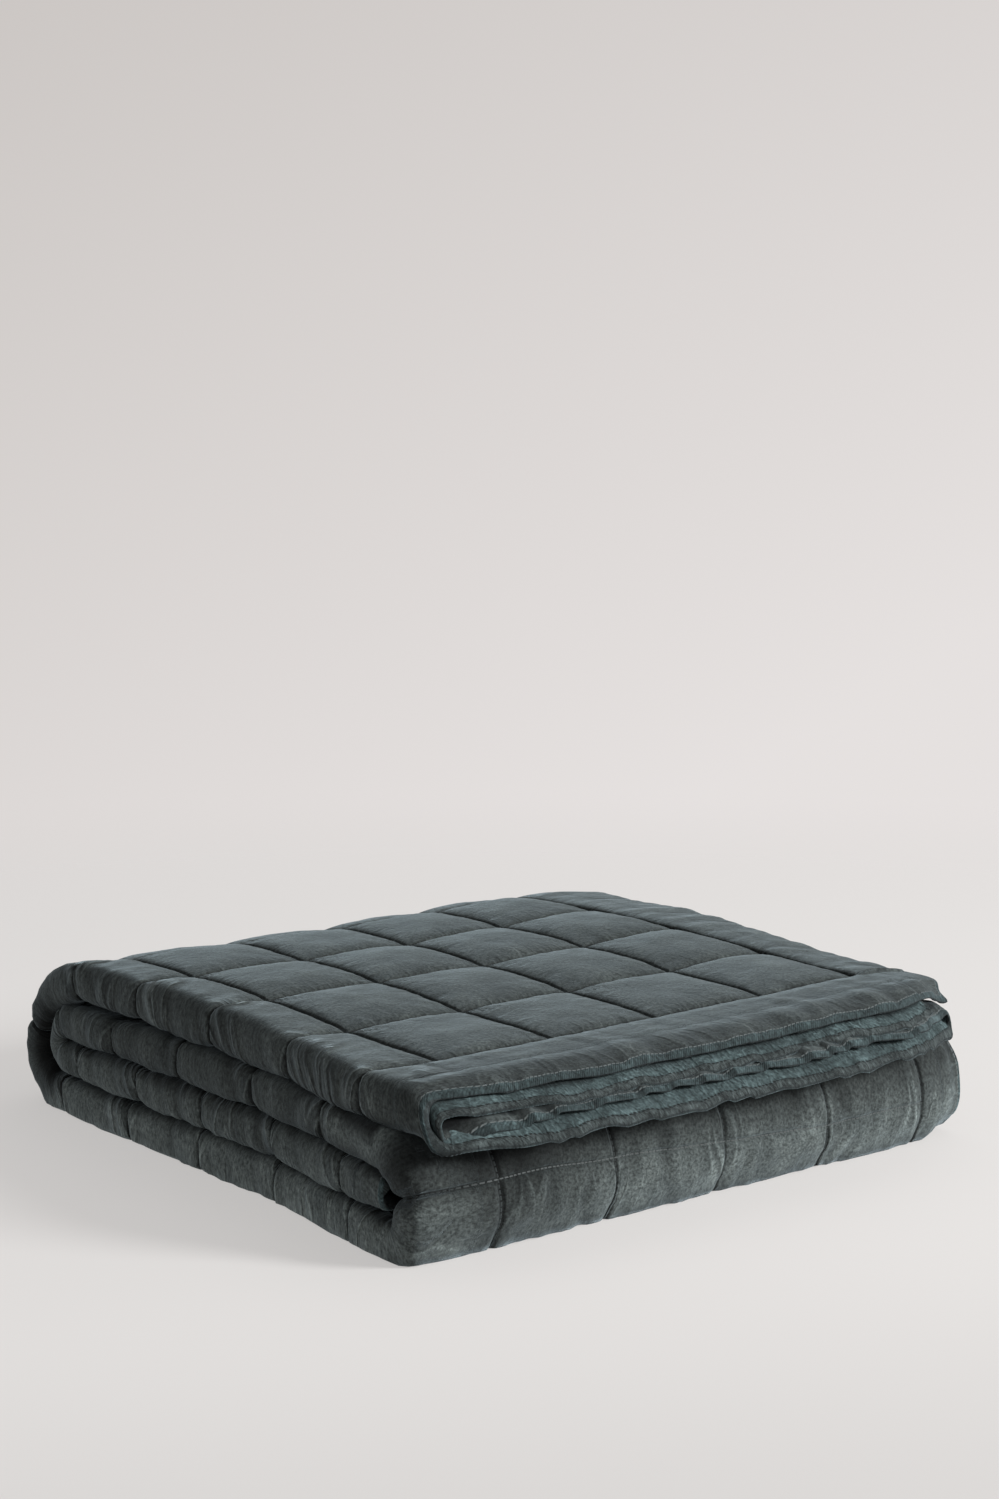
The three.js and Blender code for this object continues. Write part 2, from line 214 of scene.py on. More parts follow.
# The strip's section
UP = math.pi / 2
OUTER_RADIUS = 1.5 * LAYER_STEP
INNER_RADIUS = 0.5 * LAYER_STEP
TOP_LAYER = LAST_SEAM_X + SIDE_BORDER - LEFT_TURN_X
BOTTOM_LAYER = RIGHT_TURN_X - LEFT_TURN_X
THIRD_LAYER = RIGHT_TURN_X - INNER_LEFT_TURN_X
OUTER_TURN = math.pi * OUTER_RADIUS
INNER_TURN = math.pi * INNER_RADIUS
SECOND_LAYER = WIDTH - TOP_LAYER - OUTER_TURN - BOTTOM_LAYER - THIRD_LAYER - 2 * INNER_TURN
OUTER_END = TOP_LAYER + OUTER_TURN
ROLL_MIDDLE = TOP_LAYER + OUTER_TURN / 2
FIRST_TIGHT = TOP_LAYER + OUTER_TURN + BOTTOM_LAYER + INNER_TURN / 2
SECOND_TIGHT = FIRST_TIGHT + INNER_TURN + THIRD_LAYER

# A run: length, start, heading, height and the velvet's direction. A turn: length, middle, height,
# radius, first angle, way round and the velvet's direction.
SECTION = [
    (TOP_LAYER, "run", LAST_SEAM_X + SIDE_BORDER, -1, OUTER_RADIUS, 1),
    (OUTER_TURN, "turn", LEFT_TURN_X, 0, OUTER_RADIUS, UP, 1, 1),
    (BOTTOM_LAYER, "run", LEFT_TURN_X, 1, -OUTER_RADIUS, -1),
    (INNER_TURN, "turn", RIGHT_TURN_X, -LAYER_STEP, INNER_RADIUS, -UP, 1, 1),
    (THIRD_LAYER, "run", RIGHT_TURN_X, -1, -INNER_RADIUS, 1),
    (INNER_TURN, "turn", INNER_LEFT_TURN_X, 0, INNER_RADIUS, -UP, -1, -1),
    (SECOND_LAYER, "run", INNER_LEFT_TURN_X, 1, INNER_RADIUS, -1),
]


def across(u):
    """Place x, height h over the strip's middle and the velvet's direction (dx, dh), for each u."""
    x, h, dx, dh = (np.zeros_like(u) for _ in range(4))
    start = 0.0
    for index, (length, kind, *spec) in enumerate(SECTION):
        last = index == len(SECTION) - 1
        here = (u >= start) & ((u < start + length) | last)
        s = u[here] - start
        if kind == "run":
            at, heading, height, facing = spec
            x[here] = at + heading * s
            h[here] = height
            dh[here] = facing
        else:
            at, height, radius, begin, sweep, facing = spec
            angle = begin + sweep * s / radius
            x[here] = at + radius * np.cos(angle)
            h[here] = height + radius * np.sin(angle)
            dx[here] = facing * np.cos(angle)
            dh[here] = facing * np.sin(angle)
        start += length
    return x, h, dx, dh


def from_tight_turn(u):
    """Distance from the nearer of the two tight turns."""
    return np.minimum(np.abs(u - FIRST_TIGHT), np.abs(u - SECOND_TIGHT))


def squeeze(u):
    """How much of its wadding the sheet loses in a tight turn."""
    return fall(INNER_TURN, 3 * INNER_TURN, from_tight_turn(u))


# The strip's middle line, from the hems over the top, round the back and under the block, up the front
# and in again
def line_points(from_y, to_y, from_z, to_z):
    return np.linspace([from_y, from_z], [to_y, to_z], LINE_STEPS)


def bend_points(middle_y, middle_z, end_y, end_z, begin, end):
    """A quarter or half of an ellipse, which reaches end_y to the side and end_z up or down."""
    angle = np.linspace(begin, end, BEND_STEPS)
    y = middle_y + abs(end_y - middle_y) * np.cos(angle)
    z = middle_z + abs(end_z - middle_z) * np.sin(angle)
    return np.stack([y, z], 1)


def joined(parts):
    """Rows joined, each of which begins with the last point of the one before."""
    return np.concatenate([parts[0]] + [part[1:] for part in parts[1:]])


def unit_headings(points):
    heading = np.gradient(points, axis=0)
    return heading / np.linalg.norm(heading, axis=1)[:, None]


INNER_TURN_TOP_Z = INNER_TURN_Z + INNER_TURN_RADIUS
WINDING = [
    line_points(HEM_Y, BACK_SLOPE_Y, TOP_RUN_Z, TOP_RUN_Z),
    bend_points(BACK_SLOPE_Y, BACK_WIDEST_Z, BACK_REACH_Y, TOP_RUN_Z, UP, 0),
    bend_points(BACK_FOOT_Y, BACK_WIDEST_Z, BACK_REACH_Y, FOOT_RUN_Z, 0, -UP),
    line_points(BACK_FOOT_Y, FRONT_FOOT_Y, FOOT_RUN_Z, FOOT_RUN_Z),
    bend_points(FRONT_FOOT_Y, FRONT_WIDEST_Z, FRONT_REACH_Y, FOOT_RUN_Z, 3 * UP, 2 * UP),
    bend_points(FRONT_TOP_Y, FRONT_WIDEST_Z, FRONT_REACH_Y, HIGH_RUN_Z, 2 * UP, UP),
    line_points(FRONT_TOP_Y, INNER_TURN_Y, HIGH_RUN_Z, INNER_TURN_TOP_Z),
    bend_points(INNER_TURN_Y, INNER_TURN_Z, INNER_TURN_Y + INNER_TURN_RADIUS, INNER_TURN_TOP_Z, UP, -UP),
    line_points(INNER_TURN_Y, FRONT_REACH_Y, INNER_TURN_Z - INNER_TURN_RADIUS, LOW_RUN_Z),
]
BACK_BEND, FRONT_FOOT_LINE, FRONT_BEND, INNER_LINE = 2, 3, 5, 6
way_points = joined(WINDING)
way_heading = joined([unit_headings(piece) for piece in WINDING])
way_out = np.stack([-way_heading[:, 1], way_heading[:, 0]], 1)
outer_line = way_points + (OUTER_RADIUS + SEAM_THICKNESS / 2) * way_out
way_v = np.concatenate([[0.0], np.cumsum(np.linalg.norm(np.diff(outer_line, axis=0), axis=1))])
piece_ends = way_v[np.cumsum([len(piece) - 1 for piece in WINDING])]
BACK_END = piece_ends[BACK_BEND]
FRONT_START = piece_ends[FRONT_FOOT_LINE]
FRONT_END = piece_ends[FRONT_BEND]
INNER_TURN_START = piece_ends[INNER_LINE]
way_table = np.concatenate([way_points, way_out], 1)
last_step = way_points[-1] - way_points[-2]
tail_end = way_table[-1].copy()
tail_end[:2] += INNER_TAIL * last_step / np.linalg.norm(last_step)
way_v = np.append(way_v, way_v[-1] + INNER_TAIL)
way_table = np.vstack([way_table, tail_end])


def slack(v):
    """How much further along the winding a row lies than its place on the flat sheet says."""
    inner = INNER_ROW_DRIFT * rise(FRONT_SEAM, FRONT_SEAM + PITCH, v)
    return (ROW_DRIFT * rise(*ROW_DRIFT_GROWS, v) + inner) * fall(*ROW_DRIFT_FADES, v)


def along(distance):
    """Place (y, z) of the strip's middle and its outward direction (y, z)."""
    return [np.interp(distance, way_v, way_table[:, k]) for k in range(4)]


def openness(distance):
    """1 where nothing lies on the strip: on the top, round the back and up the front."""
    over_back = fall(BACK_END - OPEN_SOFTNESS, BACK_END, distance)
    onto_front = rise(FRONT_START, FRONT_START + OPEN_SOFTNESS, distance)
    up_front = onto_front - rise(FRONT_END - OPEN_SOFTNESS, FRONT_END, distance)
    return np.maximum(over_back, up_front)


def drift(u, v, layer):
    """How far the seams wander from their straight lines."""
    drifts = enumerate(SEAM_DRIFTS, layer)
    return sum(most * noise(u / size, v / size, k) for k, (most, size) in drifts)


def square_swelling(place, first):
    share = ((place - first) / PITCH) % 1
    from_seam = 1 - np.abs(2 * share - 1)
    return np.sqrt(np.maximum(0, 1 - (1 - from_seam) ** SQUARE_FULLNESS))


def border_swelling(place, length, first, last):
    from_edge = np.where(place < first, place / first, (length - place) / last)
    crown = np.sqrt(np.maximum(0, 1 - (2 * from_edge - 1) ** 2)) * BORDER_CROWN_SHARE
    return np.where(from_edge > 1, 1, crown)


def swelling(u, v):
    """How full the wadding is: 0 on a seam, 1 in the middle of a square."""
    sides = border_swelling(u, *ACROSS)
    ends = border_swelling(v, *ALONG)
    squares = square_swelling(u, SIDE_BORDER) * square_swelling(v, FIRST_END_BORDER)
    return np.where((sides < 1) | (ends < 1), sides * ends, squares)


NO_SEAM_NEAR = 99
FRAME_SEAM_MARGIN = 1


def nearest_seam(place, count, within):
    """Number of the seam nearest to a place, and its distance."""
    number = np.round(place / PITCH)
    distance = np.abs(place - number * PITCH)
    sewn = (number >= 0) & (number <= count) & within
    return number, np.where(sewn, distance, NO_SEAM_NEAR)


def inside_frame(place, length, first, last):
    """Whether a place lies between the first and the last seam."""
    return (place > first - FRAME_SEAM_MARGIN) & (place < length - last + FRAME_SEAM_MARGIN)


# The roll at the left begins and ends in these ranges across the sheet
ROLL_BEGINS = (528, 556)
ROLL_ENDS = (613, 640)


class Points:
    """Points of the flat sheet, on its velvet face (side 1) or its cotton back (side -1)."""

    def __init__(self, u, v, side):
        self.u, self.v, self.side = u, v, side
        self.velvet, self.cotton = side > 0, side < 0
        self.measure()
        self.front_light()
        self.find_parts()

    def measure(self):
        """Distances on the flat sheet."""
        u, v = self.u, self.v
        self.edge_u = np.minimum(u, WIDTH - u)
        self.edge_v = np.minimum(v, LENGTH - v)
        self.edge = np.minimum(self.edge_u, self.edge_v)
        self.at_end = self.edge_v < self.edge_u
        self.beside = np.where(self.at_end, u, v)
        in_width = inside_frame(u, *ACROSS)
        in_length = inside_frame(v, *ALONG)
        self.across_seam, self.from_across = nearest_seam(u - SIDE_BORDER, SQUARES_ACROSS, in_length)
        self.along_seam, self.from_along = nearest_seam(v - FIRST_END_BORDER, SQUARES_ALONG, in_width)
        self.nearest = np.minimum(self.from_across, self.from_along)

    def front_light(self):
        """Place in the strip's section (x0, h0), how far along its way, and the directions outwards."""
        u, v = self.u, self.v
        inside = rise(0, DRIFT_MARGIN, self.edge)
        self.x0, self.h0, self.dx, self.dh = across(u + drift(u, v, 20) * inside)
        lean = SEAM_LEAN * rise(SIDE_BORDER, SIDE_BORDER + LAST_SEAM_X, u)
        lean = lean * hump(v - FRONT_SEAM, LEAN_REACH)
        drift_v = drift(u, v, 22) * inside
        self.way = v + slack(v) + drift_v + lean * (u < LEAN_END)
        self.way_y, self.way_z, self.out_y, self.out_z = along(self.way)

    def find_parts(self):
        """How far each point belongs to a part of the block, from 0 to 1, and how full it is there."""
        u, v = self.u, self.v
        self.inner = u > FIRST_TIGHT
        self.outermost = self.velvet & (u < OUTER_END)
        self.low_front = fall(FRONT_FOOT_Y, PITCH, self.way_y)
        self.low_front = self.low_front * fall(FRONT_WIDEST_Z, HIGH_RUN_Z, self.way_z)
        along_front = (self.way > FRONT_START) & (self.way < FRONT_END)
        self.at_front = np.where(along_front, rise(0, 1, -self.out_y), 0)

        def outer(share):
            return np.where(self.outermost, share, 0)

        self.faces_front = outer(self.at_front)
        self.bare = outer(openness(self.way))
        self.roll = outer(rise(*ROLL_BEGINS, u) * fall(*ROLL_ENDS, u))
        self.front = outer(self.at_front * (1 - self.roll))
        self.uncovered = np.clip(self.bare + self.roll, 0, 1)
        self.at_turn = fall(0, TURN_TAPER_START, v) * fall(*TURN_TAPER_FADES, self.x0)
        at_foot = fall(*FOOT_FADES, self.way_z) * (self.way > BACK_END)
        self.swell = mix(swelling(u, v), FOOT_SWELL, outer(at_foot * FOOT_EVENNESS))


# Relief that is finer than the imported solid's: depths outwards, widths and spacings, in millimetres
GROOVE_DEPTH = 1.9
GROOVE_WIDTH = 1.7
PUCKER_SPACING = 9.5
PUCKER_LENGTH = 45
PUCKER_REACH = 15
PUCKER_FROM_SEAM = 2.5
SEAM_SHIFT_ACROSS = 5.3
SEAM_SHIFT_ALONG = 4.7
DENTS = ((1.1, 46, 3), (0.5, 21, 4))  # depth, size and noise layer
RIDGE_TOP = 0.38
RIDGE_ROUNDING = 0.002
ROLL_FOLD = 2.6
ROLL_FOLD_SPACING = 23
ROLL_FOLD_LENGTH = 95
ROLL_FOLD_SLANT = 0.02
ROLL_FOLD_REACH = 30
FRONT_FOLD = 3.4
FRONT_FOLD_SPACING = 21
FRONT_FOLD_LENGTH = 85
PINCH_DEPTH = 4
PINCH_WIDTH = 20
PINCH_LENGTH = 8
END_BORDER_FADES = (58, 84)
SIDE_BORDER_FADES = (45, 64)
RIPPLE = 1.3
RIPPLE_SPACING = 19
RIPPLE_LENGTH = 70
CREASE = 0.9
CREASE_FROM_END = 46
CREASE_DRIFT = 7
CREASE_WIDTH = 3.5
GATHER_SPACING = 6.5
GATHER_LENGTH = 12
GATHER_FROM_EDGE = 7
END_GATHERS = 0.8
SIDE_GATHERS = 0.3
TOPSTITCH = (-0.8, STITCH_FROM_EDGE, 1.4)  # height, distance from the edge and width
ROLLED_EDGE = (0.7, 4.2, 2.6)
COVERED_FROM_EDGE = (40, 90)
COVERED_LOSS = 0.8


def ridge(value):
    """A pucker's section: narrow crests and wide valleys, about -0.5 to 0.35."""
    return RIDGE_TOP - np.sqrt(value * value + RIDGE_ROUNDING)


def pucker_row(place, seam_shift, from_seam, layer):
    """Puckers along one kind of seams, other ones at each seam."""
    row = noise(place / PUCKER_SPACING, seam_shift + from_seam / PUCKER_LENGTH, layer)
    return row * np.exp(-from_seam / PUCKER_REACH)


def at_seams(p):
    """Grooves along the seams, and puckers that run away from them."""
    bare, nearest = p.uncovered, p.nearest
    groove = -GROOVE_DEPTH * hump(nearest, GROOVE_WIDTH) * (0.35 + 0.65 * bare) * (1 - 0.55 * p.front)
    strength = 0.35 + 0.35 * bare + 0.6 * p.roll + 0.6 * p.front
    cross = pucker_row(p.v, p.across_seam * SEAM_SHIFT_ACROSS, p.from_across, 1)
    cross = cross + pucker_row(p.u, p.along_seam * SEAM_SHIFT_ALONG, p.from_along, 2)
    return groove + strength * cross * (1 - np.exp(-nearest / PUCKER_FROM_SEAM))


def dents(p):
    """Shallow dents in the squares that lie bare."""
    fields = [depth * noise(p.u / size, p.v / size, layer) for depth, size, layer in DENTS]
    return sum(field * p.swell * p.uncovered for field in fields)


def folds(p):
    """Soft folds round the roll and up the front, and the pinch at the corner between them."""
    u, v = p.u, p.v
    bend = 0.6 * noise(u / 60, v / 90, 6)
    place = v / ROLL_FOLD_SPACING + ROLL_FOLD_SLANT * (u - ROLL_MIDDLE) + bend
    round_roll = ridge(noise(place, u / ROLL_FOLD_LENGTH, 5))
    round_roll = round_roll * (0.5 + 0.8 * np.exp(-p.from_along / ROLL_FOLD_REACH))
    bend = 0.7 * noise(u / 90, v / 40, 9)
    up_front = ridge(noise(u / FRONT_FOLD_SPACING + bend, v / FRONT_FOLD_LENGTH, 8))
    up_front = up_front * (0.2 + 0.9 * p.low_front + 0.3 * noise(u / 110, v / 60, 10))
    from_pinch = ((u - ROLL_MIDDLE) / PINCH_WIDTH) ** 2 + ((v - FRONT_SEAM) / PINCH_LENGTH) ** 2
    pinch = -PINCH_DEPTH * np.exp(-from_pinch)
    return ROLL_FOLD * round_roll * p.roll + FRONT_FOLD * up_front * p.front + pinch


def borders(p):
    """Ripples in the borders, and a long crease in the end border."""
    in_end = fall(*END_BORDER_FADES, p.edge_v) * p.at_end
    in_border = in_end + fall(*SIDE_BORDER_FADES, p.edge_u) * ~p.at_end
    place = p.beside / RIPPLE_SPACING + 0.5 * noise(p.beside / 50, p.edge / 30, 12)
    ripples = RIPPLE * noise(place, p.edge / RIPPLE_LENGTH, 11) * in_border
    from_crease = p.v - CREASE_FROM_END - CREASE_DRIFT * noise(p.u / 130, 0.5, 14)
    crease = CREASE * hump(from_crease, CREASE_WIDTH) * rise(-0.1, 0.25, noise(p.u / 90, 0.5, 15))
    return ripples + crease * p.velvet * p.at_end


def hems(p):
    """Gathers in the turned strip, its rolled edge and its line of stitches."""
    hem = noise(p.beside / GATHER_SPACING, p.edge / GATHER_LENGTH, 13 + p.cotton)
    hem = hem * hump(p.edge - GATHER_FROM_EDGE, GATHER_FROM_EDGE)
    hem = hem * np.where(p.at_end, END_GATHERS, SIDE_GATHERS)
    for height, from_edge, width in (TOPSTITCH, ROLLED_EDGE):
        hem = hem + height * hump(p.edge - from_edge, width)
    return hem * rise(0, 1.5, p.edge)


def relief(p):
    """The fine relief, which is flatter where other layers lie on it."""
    raised = at_seams(p) + dents(p) + folds(p) + borders(p) + hems(p)
    raised = np.where(p.edge < HEM_ROUNDING, raised * p.edge / HEM_ROUNDING, raised)
    covered = (1 - np.maximum(p.bare, p.roll)) * rise(*COVERED_FROM_EDGE, p.edge)
    return raised * (1 - COVERED_LOSS * covered)


def shown_height(p, raised):
    """Height of the fine relief, for the material's painted shade and highlight: 0 in a seam, 0.5 on even
    cloth, 1 on a crest.
    """
    return np.clip(0.5 + raised / (4 + 7 * p.front + 2 * p.roll), 0, 1)


# The pleats that the material draws
PINCHED_REACH = 42
PINCHED_HOLE = (4, 12)
PINCHED_TURNS = 3.2
PINCHED_LENGTH = 60
PINCHED_STRENGTH = 0.45
PLEATED_HEM = (24, 52)
HEM_PLEAT_STRENGTH = 0.5
SEAM_PLEAT_SPACING = 11
SEAM_PLEAT_LENGTH = 30
SEAM_PLEAT_REACH = 16
SEAM_PLEAT_SHIFT = 0.37
LENGTHWAYS_SHIFT = 400
ROLL_PLEAT_SPACING = 14
ROLL_PLEAT_SPREAD = 11
ROLL_PLEAT_REACH = 20
ROLL_PLEAT_LENGTH = 60
FRONT_PLEAT_SPACING = 17
FRONT_PLEAT_SPREAD = 40
FRONT_PLEAT_REACH = 24
FRONT_PLEAT_LENGTH = 75
VELVET_HEM_PLEAT = (17, 50)
COTTON_HEM_PLEAT = (6, 14)
MOST_STRENGTH = 2


def past_half(share):
    """0 at a share of a half, and 1 at the whole."""
    return 2 * share - 1


def seam_pleats(p):
    """Short pleats at right angles to the nearest seam."""
    from_turn = np.abs(p.from_across - p.from_along)
    by_across = p.from_across < p.from_along
    place = np.where(by_across, p.v, p.u + LENGTHWAYS_SHIFT) / SEAM_PLEAT_SPACING
    number = np.where(by_across, p.across_seam, p.along_seam)
    length = p.nearest / SEAM_PLEAT_LENGTH + SEAM_PLEAT_SHIFT * number
    strength = (0.15 + 0.35 * p.bare) * np.exp(-p.nearest / SEAM_PLEAT_REACH) * rise(0, 14, from_turn)
    return place, length, strength


def roll_pleats(p):
    """Pleats round the roll, which fan out from the seams that cross it."""
    from_seam = (p.v - FIRST_END_BORDER) / PITCH % 1 - 0.5
    place = p.v / ROLL_PLEAT_SPACING + from_seam * (p.u - ROLL_MIDDLE) / ROLL_PLEAT_SPREAD
    place = place + 0.6 * noise(p.v / 40, p.u / 30, 18)
    patches = 1.2 * rise(0.0, 0.5, noise(p.v / 48, p.u / 40, 16))
    return place, p.u / ROLL_PLEAT_LENGTH, np.exp(-p.from_along / ROLL_PLEAT_REACH) + patches


def front_pleats(p):
    """Pleats up the front, strongest low down and beside the seams."""
    share = (p.u - SIDE_BORDER) / PITCH % 1 - 0.5
    place = p.u / FRONT_PLEAT_SPACING + share * (p.v - FRONT_SEAM) / FRONT_PLEAT_SPREAD
    place = place + 0.5 * noise(p.u / 50, p.v / 50, 19)
    beside_seam = 0.2 + np.exp(-p.from_across / FRONT_PLEAT_REACH)
    patches = 0.5 * rise(0.1, 0.6, noise(p.u / 44, p.v / 60, 17))
    return place, p.v / FRONT_PLEAT_LENGTH, (0.1 + 0.5 * p.low_front) * beside_seam + patches


def pleat_field(p):
    """The pleats drawn by the material: a place across them, a place along them, both in their own
    sizes, and their strength. It is 0 where one kind of pleats takes over from another."""
    hem = fall(*PLEATED_HEM, p.edge)
    hem_spacing, hem_length = np.where(p.velvet, VELVET_HEM_PLEAT, COTTON_HEM_PLEAT)
    angle = np.arctan2(p.v - FRONT_SEAM, p.u - ROLL_MIDDLE)
    away = np.hypot(p.v - FRONT_SEAM, p.u - ROLL_MIDDLE)
    pinched = hump(away, PINCHED_REACH) * rise(*PINCHED_HOLE, away) * p.velvet
    beyond_pinch = np.abs(past_half(np.minimum(pinched, 0.5)))

    place, length, strength = seam_pleats(p)
    elsewhere = np.maximum(p.roll, np.maximum(p.front, hem))
    strength = strength * (1 - np.minimum(1, 2 * elsewhere))
    roll_place, roll_length, roll_strength = roll_pleats(p)
    front_place, front_length, front_strength = front_pleats(p)
    kinds = [pinched > 0.5, hem > 0.5, p.roll > 0.5, p.front > 0.5]
    places = [PINCHED_TURNS * angle, p.beside / hem_spacing, roll_place, front_place]
    lengths = [away / PINCHED_LENGTH, p.edge / hem_length, roll_length, front_length]
    strengths = [
        PINCHED_STRENGTH * np.clip(past_half(pinched), 0, 1),
        HEM_PLEAT_STRENGTH * past_half(hem),
        past_half(p.roll) * roll_strength * beyond_pinch,
        past_half(p.front) * front_strength * beyond_pinch,
    ]
    strength = np.clip(np.select(kinds, strengths, strength), 0, MOST_STRENGTH)
    return np.stack([np.select(kinds, places, place), np.select(kinds, lengths, length), strength], -1)


# The sheet in its fold
ROLL_BULGE = 2.8
SQUARE_BULGE = 2.4
BULGE_POWER = 0.8
BULGE_FROM_EDGE = 60
HEM_WAVE_REACH = 48
HEM_WAVES = ((4.5, 62, 30), (1.8, 48, 31))  # forward and up: size, length and noise layer
SIDE_WAVE_REACH = 45
SIDE_WAVES = ((3.5, 70, 32), (1.2, 55, 33))  # outward and up
SIDE_WAVE_ACROSS = 900
LAPS = (38, 0.9, 75, 60, 34)  # length, drift and its length, slant and noise layer
LAP_REACH = 13
LAP_UP = 2.9
LAP_FORWARD = 2.4
LAP_SHADOW = 0.45
LAP_SHADOW_BEGINS = (0, 0.08)
LAP_SHADOW_ENDS = (0.08, 0.22)
LAP_SHADOW_FADES = (7, 12)
PLEATS = (34, 0.8, 80, 90, 35)
PLEAT_REACH = 55
PLEAT_UP = 4
PLEAT_UP_AT_TURN = 1.2
PLEAT_SHADOW = 0.6
PLEAT_SHADOW_BEGINS = (0.62, 0.8)
PLEAT_SHADOW_ENDS = (0.9, 1)
PLEAT_SHADOW_FADES = (30, 60)
PETAL_RISES = (0.72, 0.97)
FOLD_BASE = 0.3


def out_from_middle(p, raised, press):
    """Distance of the surface from the sheet's middle, outwards through the velvet."""
    rim = HEM_THICKNESS * np.sqrt(np.maximum(0, 1 - (1 - p.edge / HEM_ROUNDING) ** 2))
    full = np.where(p.edge < HEM_ROUNDING, rim, mix(SEAM_THICKNESS, CROWN_THICKNESS, p.swell))
    thickness = press * mix(full, np.minimum(full, FOLD_THICKNESS), squeeze(p.u))
    raised = raised + ROLL_BULGE * p.roll * (2 * p.dx * p.dh) ** 2
    plain = p.bare * (1 - p.roll) * (1 - p.front) * (p.edge > BULGE_FROM_EDGE)
    raised = raised + SQUARE_BULGE * (p.swell**BULGE_POWER - 0.5) * plain
    turning = np.maximum(0, -p.dx)
    tight = np.maximum(turning, 1 - np.maximum(0, p.out_z))
    free = np.where(p.outermost, np.maximum(p.bare, turning), 0)
    crown = FREE_CROWN * free * mix(1, p.swell, mix(1, TIGHT_CROWN_SHARE, tight))
    return p.side * (thickness / 2 + raised) + crown


def in_fold(p, raised):
    """Place (x, y, z) of the surface in the wound strip."""
    pressed = np.maximum(rise(BACK_PRESS_START_Y, BACK_SLOPE_Y, p.way_y), p.low_front)
    press = mix(1, BACK_PRESS, pressed)
    out = out_from_middle(p, raised, press)
    x = p.x0 + out * p.dx + p.at_turn * np.where(p.inner, -TURN_FILL, TURN_TAPER)
    spread = np.where(p.inner, 1 + TURN_SPREAD * p.at_turn, 1)
    curl = mix(BORDER_CURL, FRONT_BORDER_CURL, p.at_front) * fall(0, CURL_REACH, p.u)
    offset = press * p.h0 * spread + out * p.dh - curl
    return x, p.way_y + offset * p.out_y, p.way_z + offset * p.out_z


def bend_hems(p, x, y, z):
    """The hems step back one under another, fan out, bend down and wave."""
    below = (OUTER_RADIUS - p.h0) / LAYER_STEP
    left_end = HEM_SETBACK * fall(*HEM_SETBACK_FADES, x)
    right_end = mix(HEM_CORNER_SETBACK, HEM_TURN_SETBACK, below / 3) * rise(*HEM_CORNER_GROWS, x)
    waves = [size * noise(p.u / length, 0.5, layer) for size, length, layer in HEM_WAVES]
    forward, up = (fall(0, HEM_WAVE_REACH, p.v) * wave for wave in waves)
    y = y - fall(0, HEM_REACH, p.v) * (HEM_STEP_Y * below - left_end - right_end)
    bent = np.maximum(0, 1 - p.v / HEM_BEND) ** 2
    first, third = np.maximum(0, 1 - below), np.maximum(0, 1 - np.abs(below - 2))
    lift = FIRST_LIFT * first + THIRD_LIFT * third * (1 - p.at_turn)
    fan = HEM_FAN * (1 - below / 3) * fall(*HEM_FAN_FADES, p.v)
    z = z + fan - bent * (HEM_DROOP + HEM_STEP_Z * below - lift)
    return y + forward, z + up


def fold_share(p, length, drift_by, drift_length, slant, layer):
    """How far through its own overlapping fold a point beside a hem lies, from 0 to 1."""
    return (-p.u / length + drift_by * noise(p.u / drift_length, 0.5, layer) + p.v / slant) % 1


def petal(share):
    """Such a fold's height: it sinks slowly to about -0.7 and rises quickly to 0."""
    return rise(*PETAL_RISES, share) - share


def lap_hems(p, y, z):
    """Each bit of a cotton hem overlaps the next, and the third layer's velvet lies in pleats. The last
    result is the painted shadow these folds leave on the cloth, as a share of its lightness."""
    cotton_up = np.abs(p.dh + 1) < 0.5
    lap_share = fold_share(p, *LAPS)
    lap_near = fall(0, LAP_REACH, p.v)
    lap = petal(lap_share) * lap_near
    z = z + np.where(cotton_up, LAP_UP * (lap + FOLD_BASE * lap_near), 0)
    y = y + np.where(cotton_up, LAP_FORWARD * lap, 0)
    velvet_up = p.inner & (np.abs(p.dh - 1) < 0.5)
    pleat_share = fold_share(p, *PLEATS)
    pleat_near = fall(0, PLEAT_REACH, p.v)
    pleat = petal(pleat_share) * pleat_near * (1 + PLEAT_UP_AT_TURN * p.at_turn)
    z = z + np.where(velvet_up, PLEAT_UP * (pleat + FOLD_BASE * pleat_near), 0)

    lap_shadow = rise(*LAP_SHADOW_BEGINS, lap_share) * fall(*LAP_SHADOW_ENDS, lap_share)
    lap_shadow = lap_shadow * fall(*LAP_SHADOW_FADES, p.v)
    pleat_shadow = rise(*PLEAT_SHADOW_BEGINS, pleat_share) * fall(*PLEAT_SHADOW_ENDS, pleat_share)
    pleat_shadow = pleat_shadow * fall(*PLEAT_SHADOW_FADES, p.v)
    light = 1 - np.where(cotton_up & p.cotton, LAP_SHADOW * lap_shadow, 0)
    light = light - np.where(velvet_up & p.velvet, PLEAT_SHADOW * pleat_shadow, 0)
    return y, z, light


def wave_sides(p, x, z):
    """The sides wave outward and up."""
    place = p.u / SIDE_WAVE_ACROSS
    waves = [size * noise(p.v / length, place, layer) for size, length, layer in SIDE_WAVES]
    outward, up = (fall(0, SIDE_WAVE_REACH, p.edge_u) * wave for wave in waves)
    return x + outward, z + up


